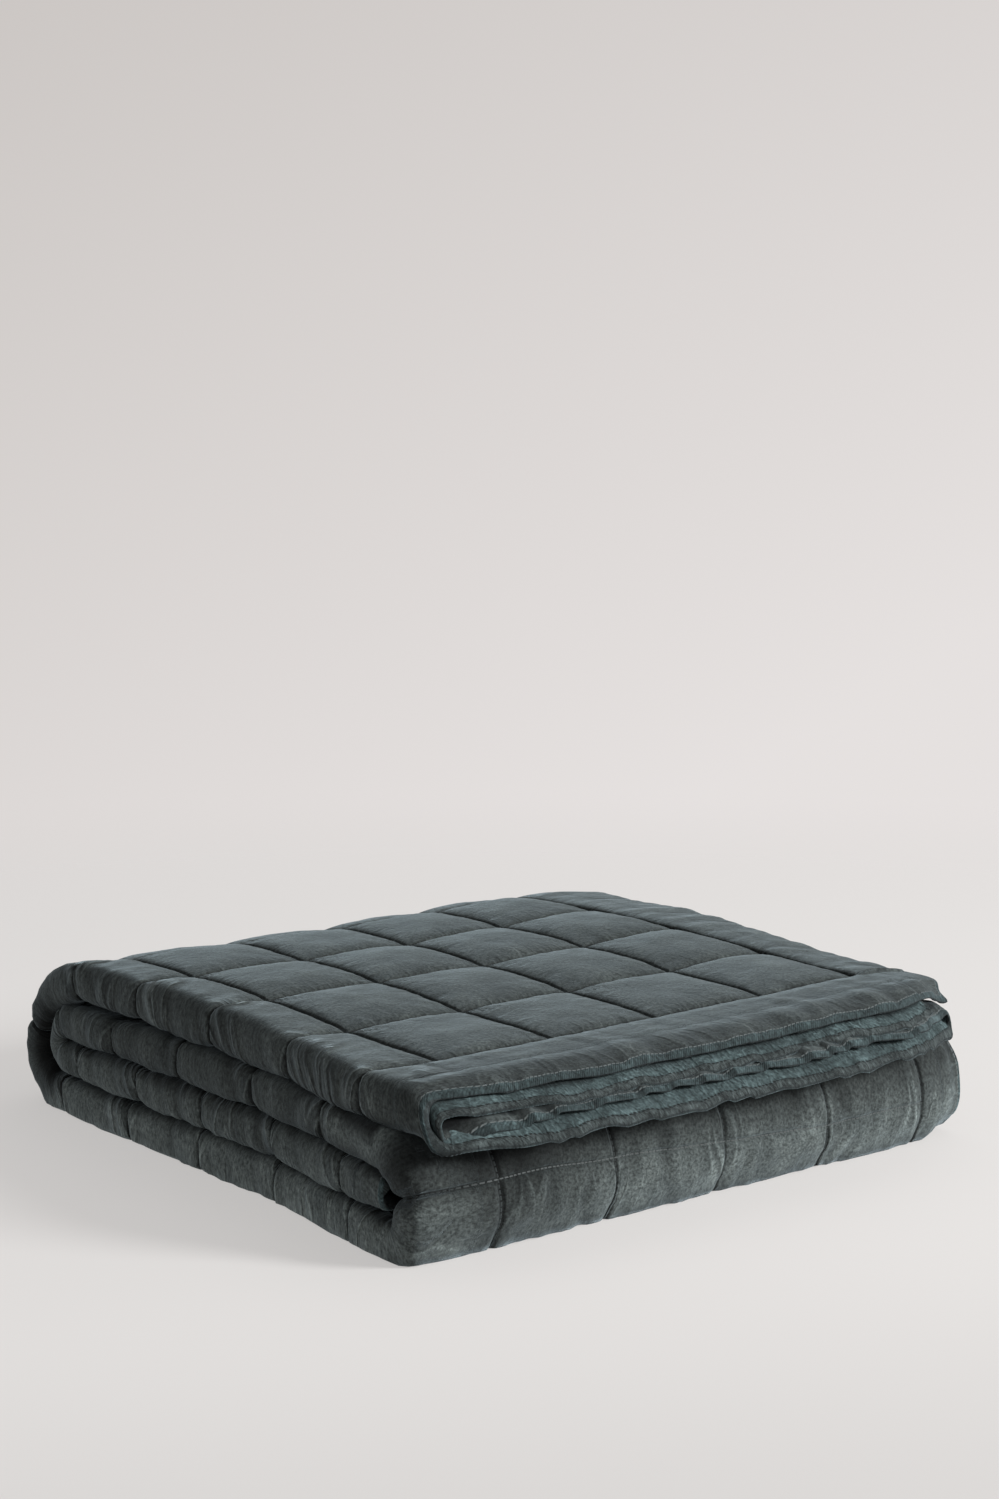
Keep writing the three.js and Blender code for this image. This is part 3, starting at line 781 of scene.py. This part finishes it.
def settle(p, x, y, z):
    """The soft block leans, flares at its sides, rests flat and has a rounded loose corner."""
    z = z * mix(FRONT_HEIGHT_SHARE, BACK_HEIGHT_SHARE, rise(*HEIGHT_GROWS_BACK, y))
    z = z * mix(1, RIGHT_HEIGHT_SHARE, rise(*HEIGHT_GROWS_RIGHT, x))
    leftward = LEFT_FLARE * fall(*LEFT_FLARE_FADES, y) - LEFT_TUCK * rise(*LEFT_TUCK_GROWS, y)
    rightward = RIGHT_FLARE * rise(*RIGHT_FLARE_GROWS, y)
    x = x - fall(*LEFT_SIDE, x) * leftward + rise(*RIGHT_SIDE, x) * rightward
    z = np.where(z < SETTLED, SETTLED * np.maximum(z / SETTLED, 0) ** SETTLING, z)
    low = z - PRESSED_FLAT * fall(PRESSED_FLAT, 3 * PRESSED_FLAT, z)
    z = np.where(p.velvet, np.maximum(low, 0), np.maximum(z, PRESSED_FLAT))
    corner = np.exp(-(p.u * p.u + p.v * p.v) / CORNER_SIZE**2)
    x = x - CORNER_ROUND * corner
    y = y + CORNER_ROUND * corner
    return x, y, z - CORNER_DROP_SHARE * CORNER_ROUND * corner


# Painted light and shade, as shares of the lightness of even cloth
GAP_SHADE = 0.96
GAP_BELOW = (4, 15)
GAP_ABOVE = (8, 19)
GAP_NEAR_FRONT = 14
NEAR_FRONT_REACH = 1.4 * PITCH
BACK_GAP_SHADE = 0.9
BACK_GAP_BEGINS = (BACK_END - 1.7 * PITCH, BACK_END - 1.2 * PITCH)
BACK_GAP_END = BACK_END + 0.2 * PITCH
BACK_GAP_HALF = 8
# Painted light and shade on the front
FRONT_LOW_GAIN = 1.1
FRONT_HIGH_GAIN = -0.8
FRONT_GAIN_TURNS = (0.22 * PITCH, 0.72 * PITCH)
FRONT_LEFT_LOSS = 0.68
FRONT_LEFT_FADES = (-10.0, 1.2 * PITCH)
FRONT_FOOT_SHARE = 0.35
FRONT_FOOT_GROWS = (0.5, 9.0)
ABOVE_FOOT = 99
END_BORDER_SHARE = 0.74
END_BORDER_GROWS = (50, 95)
# Painted light on the lower rolls
LOWER_ROLL_GAIN = 1.5
INNER_ROLL_GAIN = 0.7
ROLL_TURN_GAIN = 0.08
ROLL_TURN_LENGTH = 20
LAYER_SHADE = 0.9
LAYER_LIT_DEPTHS = (900, 22, 11, 13)
SHADE_SOFTNESS = 3
INNER_VELVET_END = 100


def in_gaps(p):
    """Painted shade: the roll is dark where it turns into the gaps under and over it, and round the back.
    """
    from_front = fall(FRONT_END, FRONT_END + NEAR_FRONT_REACH, p.way)
    near_front = np.where(p.way > FRONT_END, from_front, 0)
    downward = p.u - ROLL_MIDDLE
    upward = ROLL_MIDDLE - p.u + GAP_NEAR_FRONT * near_front
    into_gap = np.where(downward > 0, rise(*GAP_BELOW, downward), 0)
    into_gap = np.maximum(into_gap, rise(*GAP_ABOVE, upward) * (1 - p.bare))
    round_back = rise(*BACK_GAP_BEGINS, p.way) * (p.way < BACK_GAP_END)
    round_back = round_back * rise(-BACK_GAP_HALF, BACK_GAP_HALF, downward)
    return 1 - p.roll * np.maximum(GAP_SHADE * into_gap, BACK_GAP_SHADE * round_back)


def on_outside(p, z):
    """Painted light on the front low down, and painted shade on it high up, at its left end and at its
    foot; the border over it is a little darker than the squares behind."""
    gain = mix(FRONT_LOW_GAIN, FRONT_HIGH_GAIN, rise(*FRONT_GAIN_TURNS, p.way_z))
    front_light = 1 + p.faces_front * gain
    front_light = front_light * (1 - FRONT_LEFT_LOSS * p.faces_front * fall(*FRONT_LEFT_FADES, p.x0))
    above_foot = np.where(p.faces_front > 0, z, ABOVE_FOOT)
    front_light = front_light * mix(FRONT_FOOT_SHARE, 1, rise(*FRONT_FOOT_GROWS, above_foot))
    return front_light * np.where(p.u < TOP_LAYER, mix(END_BORDER_SHARE, 1, rise(*END_BORDER_GROWS, p.v)), 1)


def on_rolls(p):
    """Painted light: the rolls below the top one are lighter, the lowest most."""
    past_turn = rise(INNER_TURN_START, INNER_TURN_START + ROLL_TURN_LENGTH, p.way)
    inner_gain = mix(ROLL_TURN_GAIN, INNER_ROLL_GAIN, past_turn)
    gain = mix(LOWER_ROLL_GAIN, inner_gain, rise(FRONT_END, FRONT_END + PITCH, p.way))
    return 1 + p.roll * np.where(p.way > BACK_END, gain, 0)


def between_layers(p):
    """Painted shade: the cotton and the folded velvet are dark behind the hems."""
    *depths, last_depth = LAYER_LIT_DEPTHS
    turns = [p.u < ROLL_MIDDLE, p.u < FIRST_TIGHT, p.u < SECOND_TIGHT]
    lit = np.select(turns, depths, last_depth)
    hidden = p.cotton | (p.inner & (p.v < INNER_VELVET_END))
    return 1 - LAYER_SHADE * rise(lit - SHADE_SOFTNESS, lit + SHADE_SOFTNESS, p.v) * hidden


def folded(u, v, side):
    """For each point: its place in metres; the height of its fine relief; its pleats; its distances
    from seams and edge in mm; how far it is on the front; and its painted light and shade."""
    p = Points(u, v, side)
    raised = relief(p)
    x, y, z = in_fold(p, raised)
    y, z = bend_hems(p, x, y, z)
    y, z, light = lap_hems(p, y, z)
    x, z = wave_sides(p, x, z)
    x, y, z = settle(p, x, y, z)
    place = np.stack([(x - MIDDLE_X) / 1000, (y - MIDDLE_Y) / 1000, z / 1000], -1)
    sewing = np.stack([p.from_across, p.from_along, p.edge], -1)
    # Painted light and shade: shade in the gaps, light and shade on the front, lighter lower rolls, shade
    # behind the hems, shadows of the hem folds
    painted_light = in_gaps(p) * on_outside(p, z) * on_rolls(p) * between_layers(p) * light
    return place, shown_height(p, raised), pleat_field(p), sewing, p.front, painted_light


# Lines of the mesh: a fixed number for each square and border. Each pair is how much closer they lie
# beside something, and within how many millimetres.
PER_SQUARE = 28
FINE_STEPS = 600
NEAR_SEAM = (1.2, 4)
IN_HEM = (2, 12)
AT_RIM = (6, 2)
AT_TIGHT_TURN = (2, 14)
ON_ROLL = (0.6, 26)


def closer(near, distance):
    amount, reach = near
    return amount * (distance < reach)


def density(place, first_seam, length):
    """How close together the lines lie near a place along one direction of the sheet."""
    from_seam = np.abs((place - first_seam + PITCH / 2) % PITCH - PITCH / 2)
    from_edge = np.minimum(place, length - place)
    return 1 + closer(NEAR_SEAM, from_seam) + closer(IN_HEM, from_edge) + closer(AT_RIM, from_edge)


def density_across(u):
    turns = closer(AT_TIGHT_TURN, from_tight_turn(u)) + closer(ON_ROLL, np.abs(u - ROLL_MIDDLE))
    return density(u, SIDE_BORDER, WIDTH) + turns


def density_along(v):
    return density(v, FIRST_END_BORDER, LENGTH)


def spaced(start, end, density_of):
    """Lines from start to end, spaced by their density."""
    fine = np.linspace(start, end, FINE_STEPS)
    total = np.concatenate([[0.0], np.cumsum(density_of((fine[1:] + fine[:-1]) / 2))])
    return np.interp(np.linspace(0, total[-1], PER_SQUARE + 1), total, fine)


def sheet_lines(first, squares, length, density_of):
    seams = [first + k * PITCH for k in range(squares + 1)]
    stops = [0, *seams, length]
    return joined([spaced(start, end, density_of) for start, end in zip(stops, stops[1:])])


u_lines = sheet_lines(SIDE_BORDER, SQUARES_ACROSS, WIDTH, density_across)
v_lines = sheet_lines(FIRST_END_BORDER, SQUARES_ALONG, LENGTH, density_along)
LAST_U = len(u_lines) - 1
LAST_V = len(v_lines) - 1


def column(k):
    """Index of the first line of square k across; -1 is the first border and 18 the last."""
    return (k + 1) * PER_SQUARE


# Blocks of the two sides: from and to index across and along, and the step between the lines used.
N = PER_SQUARE
BACK_ROWS_END = 6 * N + N // 2
FRONT_ROWS_START = 11 * N
FRONT_ROWS_END = 13 * N + N // 4
FACE_BLOCKS = [
    (0, column(4), 0, BACK_ROWS_END, 1, 1),
    (column(4), column(5), 0, LAST_V, 1, 1),
    (0, column(4), BACK_ROWS_END, FRONT_ROWS_START, 4, 7),
    (0, column(4), FRONT_ROWS_START, FRONT_ROWS_END, 1, 1),
    (0, column(4), FRONT_ROWS_END, LAST_V, 4, 7),
    (column(5), LAST_U, 0, N // 2, 1, 1),
    (column(5), LAST_U, N // 2, N, 4, 2),
    (column(5), column(8), N, LAST_V, 7, 7),
    (column(8), column(10), N, LAST_V, 2, 4),
    (column(10), column(17), N, LAST_V, 7, 7),
    (column(17), LAST_U, N, LAST_V, 4, 4),
]
BACK_BLOCKS = [
    (0, LAST_U, 0, N // 2, 1, 1),
    (0, LAST_U, N // 2, N, 4, 2),
    (0, column(0), N, LAST_V, 2, 4),
    (column(0), column(8), N, LAST_V, 7, 7),
    (column(8), column(10), N, LAST_V, 2, 4),
    (column(10), column(17), N, LAST_V, 7, 7),
    (column(17), LAST_U, N, LAST_V, 2, 4),
]


def used_points(blocks):
    used = np.zeros((LAST_U + 1, LAST_V + 1), bool)
    for i0, i1, j0, j1, step_i, step_j in blocks:
        used[i0 : i1 + 1 : step_i, j0 : j1 + 1 : step_j] = True
    return used


def block_rings(numbers, blocks):
    """Point numbers round each face, with every point that lies on one of its four sides."""
    for i0, i1, j0, j1, step_i, step_j in blocks:
        for a in range(i0, i1, step_i):
            for c in range(j0, j1, step_j):
                b, d = a + step_i, c + step_j
                first, second = numbers[a:b, c], numbers[b, c:d]
                third, fourth = numbers[b:a:-1, d], numbers[a, d:c:-1]
                yield [int(n) for n in (*first, *second, *third, *fourth) if n >= 0]


def build_sheet():
    """The fields of folded for all points, the flat place of each, the faces and their materials."""
    face_used, back_used = used_points(FACE_BLOCKS), used_points(BACK_BLOCKS)
    rim = np.zeros_like(face_used)
    rim[0, :] = rim[-1, :] = rim[:, 0] = rim[:, -1] = True
    shared = (face_used | back_used) & rim
    face_i, face_j = np.nonzero(face_used | shared)
    back_i, back_j = np.nonzero(back_used & ~rim)

    face_numbers, back_numbers = (np.full(rim.shape, -1) for _ in range(2))
    face_numbers[face_i, face_j] = np.arange(len(face_i))
    back_numbers[shared] = face_numbers[shared]
    back_numbers[back_i, back_j] = np.arange(len(back_i)) + len(face_i)
    face_fields = folded(u_lines[face_i], v_lines[face_j], 1)
    back_fields = folded(u_lines[back_i], v_lines[back_j], -1)
    fields = [np.concatenate(both_sides) for both_sides in zip(face_fields, back_fields)]
    i, j = np.concatenate([face_i, back_i]), np.concatenate([face_j, back_j])
    flat = np.stack([u_lines[i], v_lines[j]], 1)

    velvet_faces = [ring[::-1] for ring in block_rings(face_numbers, FACE_BLOCKS)]
    cotton_faces = list(block_rings(back_numbers, BACK_BLOCKS))
    kinds = [0] * len(velvet_faces) + [1] * len(cotton_faces)
    return fields, flat, velvet_faces + cotton_faces, kinds


class Nodes:
    """The nodes of a material or the world, with short ways to add and link them."""

    def __init__(self, owner):
        owner.use_nodes = True
        self.owner = owner
        self.nodes = owner.node_tree.nodes
        self.links = owner.node_tree.links

    def put(self, value, socket):
        if isinstance(value, bpy.types.NodeSocket):
            self.links.new(value, socket)
        else:
            socket.default_value = value

    def fill(self, node, values):
        for name, value in values.items():
            self.put(value, node.inputs[name])

    def add(self, kind, inputs, output=0, **settings):
        node = self.nodes.new("ShaderNode" + kind)
        for name, setting in settings.items():
            setattr(node, name, setting)
        self.fill(node, inputs)
        return node.outputs[output]

    def math(self, operation, *values):
        return self.add("Math", dict(enumerate(values)), operation=operation)

    def noise(self, vector, scale, detail, roughness):
        inputs = {"Vector": vector, "Scale": scale, "Detail": detail, "Roughness": roughness}
        return self.add("TexNoise", inputs)

    def between(self, value, low, high, to_low=0.0, to_high=1.0):
        inputs = {"Value": value, "From Min": low, "From Max": high, "To Min": to_low, "To Max": to_high}
        return self.add("MapRange", inputs, interpolation_type="SMOOTHSTEP")

    def ramp(self, source, stops):
        node = self.nodes.new("ShaderNodeValToRGB")
        while len(node.color_ramp.elements) < len(stops):
            node.color_ramp.elements.new(0.5)
        for element, (place, color) in zip(node.color_ramp.elements, stops):
            element.position = place
            element.color = (*color, 1) if isinstance(color, tuple) else (color, color, color, 1)
        self.links.new(source, node.inputs["Fac"])
        return node.outputs["Color"]

    def times(self, color, factor):
        return self.add("VectorMath", {0: color, 1: factor}, operation="MULTIPLY")

    def dot(self, vector, direction):
        return self.add("VectorMath", {0: vector, 1: direction}, "Value", operation="DOT_PRODUCT")

    def blend(self, factor, first, second):
        return self.add("Mix", {0: factor, 6: first, 7: second}, output=2, data_type="RGBA")

    def attribute(self, name, output):
        return self.add("Attribute", {}, output=output, attribute_name=name)

    def split(self, vector):
        node = self.nodes.new("ShaderNodeSeparateXYZ")
        self.links.new(vector, node.inputs[0])
        return node.outputs


# The cloths: sizes on the sheet in metres, distances from seams and edge in millimetres
STITCH_PITCH = 0.0042
STITCH_SHARE = 0.68
THREAD_HALF = 0.55
STRIP_EDGE = (STITCH_FROM_EDGE - 0.6, STITCH_FROM_EDGE + 0.2)
GROOVE_RISES = (0.4, 3.2)
RIB_PITCH = 0.0021
NAP_RELIEF = 0.7
GRAIN_RELIEF = 0.35
RIB_RELIEF = 0.12
GROOVE_RELIEF = 0.8
THREAD_RELIEF = 0.35
PLEAT_RELIEF = 3.4
PLEAT_SEED = 3.7
PLEAT_CREST = [(0.36, 0.0), (0.5, 1.0), (0.64, 0.0)]
PLEAT_HIGHLIGHT_AND_SHADE = [(0.34, 0.40), (0.45, 0.27), (0.5, 0.80), (0.55, 0.32), (0.66, 0.40)]
PLEAT_LIGHT_GAIN = (2.45,) * 3
NAP_TONE = [(0.3, 0.44), (0.7, 0.56)]
GRAIN_TONE = [(0.37, 0.30), (0.63, 1.0)]
PILE_GAIN = (3.0,) * 3
RELIEF_SHADE_AND_HIGHLIGHT = [(0.0, 0.22), (0.35, 0.47), (0.5, 0.60), (0.8, 0.88)]
PAINTED_LIGHT_GAIN = 1.65
GROOVE_SHADE = [(0.0, 0.24), (0.4, 0.72), (0.8, 1.0), (1.0, 0.96)]
PLAIN_SEAM_SHADE = (0.9, 0.9, 0.9, 1)
VELVET = {
    "dark": (0.024, 0.029, 0.029),
    "light": (0.038, 0.045, 0.044),
    "hem": (0.027, 0.040, 0.042, 1),
    "thread": (0.085, 0.097, 0.097, 1),
    "weave_pitch": 0.0011,
    "weave_relief": 0.015,
    "sheen": 0.38,
}
COTTON = {
    "dark": (0.038, 0.056, 0.058),
    "light": (0.050, 0.072, 0.075),
    "hem": (0.030, 0.0375, 0.038, 1),
    "thread": (0.008, 0.010, 0.010, 1),
    "weave_pitch": 0.0009,
    "weave_relief": 0.05,
    "sheen": 0.12,
}
QUILTING_THREAD = (0.02, 0.024, 0.024, 1)
FRONT_QUILTING_THREAD = (0.062, 0.069, 0.069, 1)
CLOTH_FINISH = {
    "Roughness": 0.9,
    "Specular IOR Level": 0.15,
    "Sheen Roughness": 0.4,
    "Sheen Tint": (0.36, 0.45, 0.49, 1),
}


def cloth_material(name, dark, light, hem, thread, weave_pitch, weave_relief, sheen):
    """Velvet or cotton, with its nap or weave, pleats, seams, stitches and hem, and painted light and
    shade.
    """
    cloth = Nodes(bpy.data.materials.new(name))
    flat = cloth.add("TexCoord", {}, output="UV")
    u, v, _ = cloth.split(flat)
    from_across, from_along, edge = cloth.split(cloth.attribute("sewing", "Vector"))
    across_pleat, along_pleat, strength = cloth.split(cloth.attribute("pleats", "Vector"))
    height = cloth.attribute("height", "Fac")
    front = cloth.attribute("front", "Fac")
    painted_light = cloth.attribute("painted_light", "Fac")

    def waves(place, pitch):
        return cloth.math("SINE", cloth.math("MULTIPLY", place, 2 * math.pi / pitch))

    def stitched(distance, place):
        share = cloth.math("FRACT", cloth.math("DIVIDE", place, STITCH_PITCH))
        dash = cloth.math("LESS_THAN", share, STITCH_SHARE)
        return cloth.math("MULTIPLY", cloth.math("LESS_THAN", distance, THREAD_HALF), dash)

    pleat_place = cloth.add("CombineXYZ", {0: across_pleat, 1: along_pleat, 2: PLEAT_SEED})
    pleat = cloth.noise(pleat_place, scale=1, detail=1.5, roughness=0.45)
    nap = cloth.noise(flat, scale=150, detail=3, roughness=0.6)
    grain = cloth.noise(flat, scale=380, detail=3, roughness=0.75)
    mottling = cloth.noise(flat, scale=30, detail=4, roughness=0.65)
    weave = cloth.math("ADD", waves(u, weave_pitch), waves(v, weave_pitch))
    in_strip = cloth.between(edge, *STRIP_EDGE, 1, 0)
    rib = cloth.math("MULTIPLY", waves(cloth.math("ADD", u, v), RIB_PITCH), in_strip)
    groove = cloth.between(cloth.math("MINIMUM", from_across, from_along), *GROOVE_RISES)
    plain_seam = cloth.math("MULTIPLY", front, cloth.math("LESS_THAN", from_along, from_across))

    color = cloth.ramp(mottling, [(0.34, dark), (0.66, light)])
    color = cloth.blend(in_strip, color, hem)
    color = cloth.times(color, cloth.ramp(nap, NAP_TONE))
    color = cloth.times(color, cloth.ramp(grain, GRAIN_TONE))
    color = cloth.times(color, PILE_GAIN)
    # Painted shade in the relief's hollows and painted highlight on its crests
    color = cloth.times(color, cloth.ramp(height, RELIEF_SHADE_AND_HIGHLIGHT))
    # Painted light and shade from the point attribute
    color = cloth.times(color, cloth.math("MULTIPLY", painted_light, PAINTED_LIGHT_GAIN))
    # Painted highlight on the pleat crests and painted shade beside them
    pleat_lit = cloth.times(color, cloth.times(cloth.ramp(pleat, PLEAT_HIGHLIGHT_AND_SHADE), PLEAT_LIGHT_GAIN))
    color = cloth.blend(cloth.math("MINIMUM", strength, 1), color, pleat_lit)
    # Painted shade in the seam grooves, lighter on the front's plain seams
    seam_shade = cloth.blend(plain_seam, cloth.ramp(groove, GROOVE_SHADE), PLAIN_SEAM_SHADE)
    color = cloth.times(color, seam_shade)

    quilted = cloth.math("MAXIMUM", stitched(from_across, v), stitched(from_along, u))
    from_topstitch = cloth.math("ABSOLUTE", cloth.math("SUBTRACT", edge, STITCH_FROM_EDGE))
    topstitched = stitched(from_topstitch, cloth.math("ADD", u, v))
    quilting = cloth.blend(plain_seam, QUILTING_THREAD, FRONT_QUILTING_THREAD)
    color = cloth.blend(quilted, color, quilting)
    color = cloth.blend(topstitched, color, thread)

    crest = cloth.ramp(pleat, PLEAT_CREST)
    raised = cloth.math("MULTIPLY_ADD", pleat, PLEAT_RELIEF, crest)
    raised = cloth.math("MULTIPLY", strength, raised)
    threads = cloth.math("MAXIMUM", quilted, topstitched)
    reliefs = [(nap, NAP_RELIEF), (grain, GRAIN_RELIEF), (weave, weave_relief)]
    reliefs += [(rib, RIB_RELIEF), (groove, GROOVE_RELIEF), (threads, THREAD_RELIEF)]
    for field, amount in reliefs:
        raised = cloth.math("MULTIPLY_ADD", field, amount, raised)
    bump = cloth.add("Bump", {"Strength": 1.0, "Distance": 0.001, "Height": raised})
    finish = {"Base Color": color, "Normal": bump, "Sheen Weight": sheen, **CLOTH_FINISH}
    cloth.fill(cloth.nodes["Principled BSDF"], finish)
    return cloth.owner


def cover_mesh():
    fields, flat, faces, kinds = build_sheet()
    places, heights, pleats, sewing, fronts, painted_lights = fields
    mesh = bpy.data.meshes.new("bed_cover")
    mesh.from_pydata(places.tolist(), [], faces)
    mesh.update()
    mesh.materials.append(cloth_material("velvet_washed", **VELVET))
    mesh.materials.append(cloth_material("cotton_back", **COTTON))
    mesh.polygons.foreach_set("material_index", kinds)
    mesh.polygons.foreach_set("use_smooth", [True] * len(mesh.polygons))
    for name, values in (("height", heights), ("front", fronts), ("painted_light", painted_lights)):
        mesh.attributes.new(name, "FLOAT", "POINT").data.foreach_set("value", values)
    for name, values in (("pleats", pleats), ("sewing", sewing)):
        mesh.attributes.new(name, "FLOAT_VECTOR", "POINT").data.foreach_set("vector", values.ravel())
    layer = mesh.uv_layers.new(name="cloth")
    corner_points = np.empty(len(mesh.loops), int)
    mesh.loops.foreach_get("vertex_index", corner_points)
    layer.data.foreach_set("uv", (flat[corner_points] / 1000).ravel())
    return mesh


room = bpy.context.scene


def add_object(name, data):
    made = bpy.data.objects.new(name, data)
    room.collection.objects.link(made)
    return made


cover = add_object("bed_cover", cover_mesh())
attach(cover, "root")
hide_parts("quilted_cover")

# The floor, in metres, which fades into the surroundings
FLOOR_RADIUS = 6
FLOOR_COLOR = (0.25, 0.244, 0.239, 1)
FLOOR_GLOW_COLOR = (1, 0.975, 0.96, 1)
FLOOR_GLOW_NEAR = 0.37
FLOOR_GLOW_FAR = 0.47
FLOOR_GLOW_FADES = (0.4, 1.0)
FLOOR_FADES = (0.9, 2.3)
NEAR_SIDE = (-0.35, -0.94, 0)


def floor_plain():
    ground = Nodes(bpy.data.materials.new("floor_plain"))
    place = ground.add("TexCoord", {}, output="Object")
    far_off = ground.add("VectorMath", {0: place}, output="Value", operation="LENGTH")
    nearer = ground.dot(place, NEAR_SIDE)
    finish = {
        "Base Color": FLOOR_COLOR,
        "Roughness": 0.9,
        "Specular IOR Level": 0.1,
        "Emission Color": FLOOR_GLOW_COLOR,
        "Emission Strength": ground.between(nearer, *FLOOR_GLOW_FADES, FLOOR_GLOW_FAR, FLOOR_GLOW_NEAR),
        "Alpha": ground.between(far_off, *FLOOR_FADES, 1, 0),
    }
    ground.fill(ground.nodes["Principled BSDF"], finish)
    return ground.owner


floor_mesh = bpy.data.meshes.new("floor")
floor_edit = bmesh.new()
bmesh.ops.create_circle(floor_edit, cap_ends=True, radius=FLOOR_RADIUS, segments=96)
floor_edit.to_mesh(floor_mesh)
floor_edit.free()
floor_mesh.materials.append(floor_plain())
floor = add_object("floor", floor_mesh)

# Light: plain surroundings, a little brighter low down and to the right
LOWER_RIGHT = (0.234, -0.188, -0.5)
SKY_COLORS = [(0.0, 0.30), (0.35, (0.60, 0.568, 0.55)), (0.59, (0.785, 0.752, 0.742))]


def light_surroundings():
    room.world = room.world or bpy.data.worlds.new("surroundings")
    sky = Nodes(room.world)
    toward = sky.add("TexCoord", {}, output="Generated")
    share = sky.math("ADD", sky.dot(toward, LOWER_RIGHT), 0.5)
    sky.fill(sky.nodes["Background"], {"Color": sky.ramp(share, SKY_COLORS), "Strength": 1})


def panel(name, place, target, size, power):
    """A round lamp, itself unseen."""
    light = bpy.data.lights.new(name, "AREA")
    light.shape = "DISK"
    light.size = size
    light.energy = power
    holder = add_object(name, light)
    holder.location = place
    holder.visible_camera = False
    holder.rotation_euler = (Vector(target) - Vector(place)).to_track_quat("-Z", "Y").to_euler()


room.view_settings.view_transform = "Standard"
light_surroundings()
panel("key_light", place=(2.5, -4.3, 2.1), target=(0, 0, 0.1), size=1.5, power=480)
panel("top_light", place=(0.8, 0.6, 2.6), target=(0, 0, 0), size=2.4, power=8)

# The camera of the photograph
FOCAL_LENGTH = 89.09
CAMERA_PLACE = (-1.3483, -1.6834, 0.5752)
CAMERA_DOWN = 6.448
CAMERA_HEADING = -38.83
lens = bpy.data.cameras.new("camera")
lens.sensor_fit = "HORIZONTAL"
lens.sensor_width = 36
lens.lens = FOCAL_LENGTH
camera = add_object("camera", lens)
camera.location = CAMERA_PLACE
camera.rotation_euler = (math.radians(90 - CAMERA_DOWN), 0, math.radians(CAMERA_HEADING))
room.camera = camera
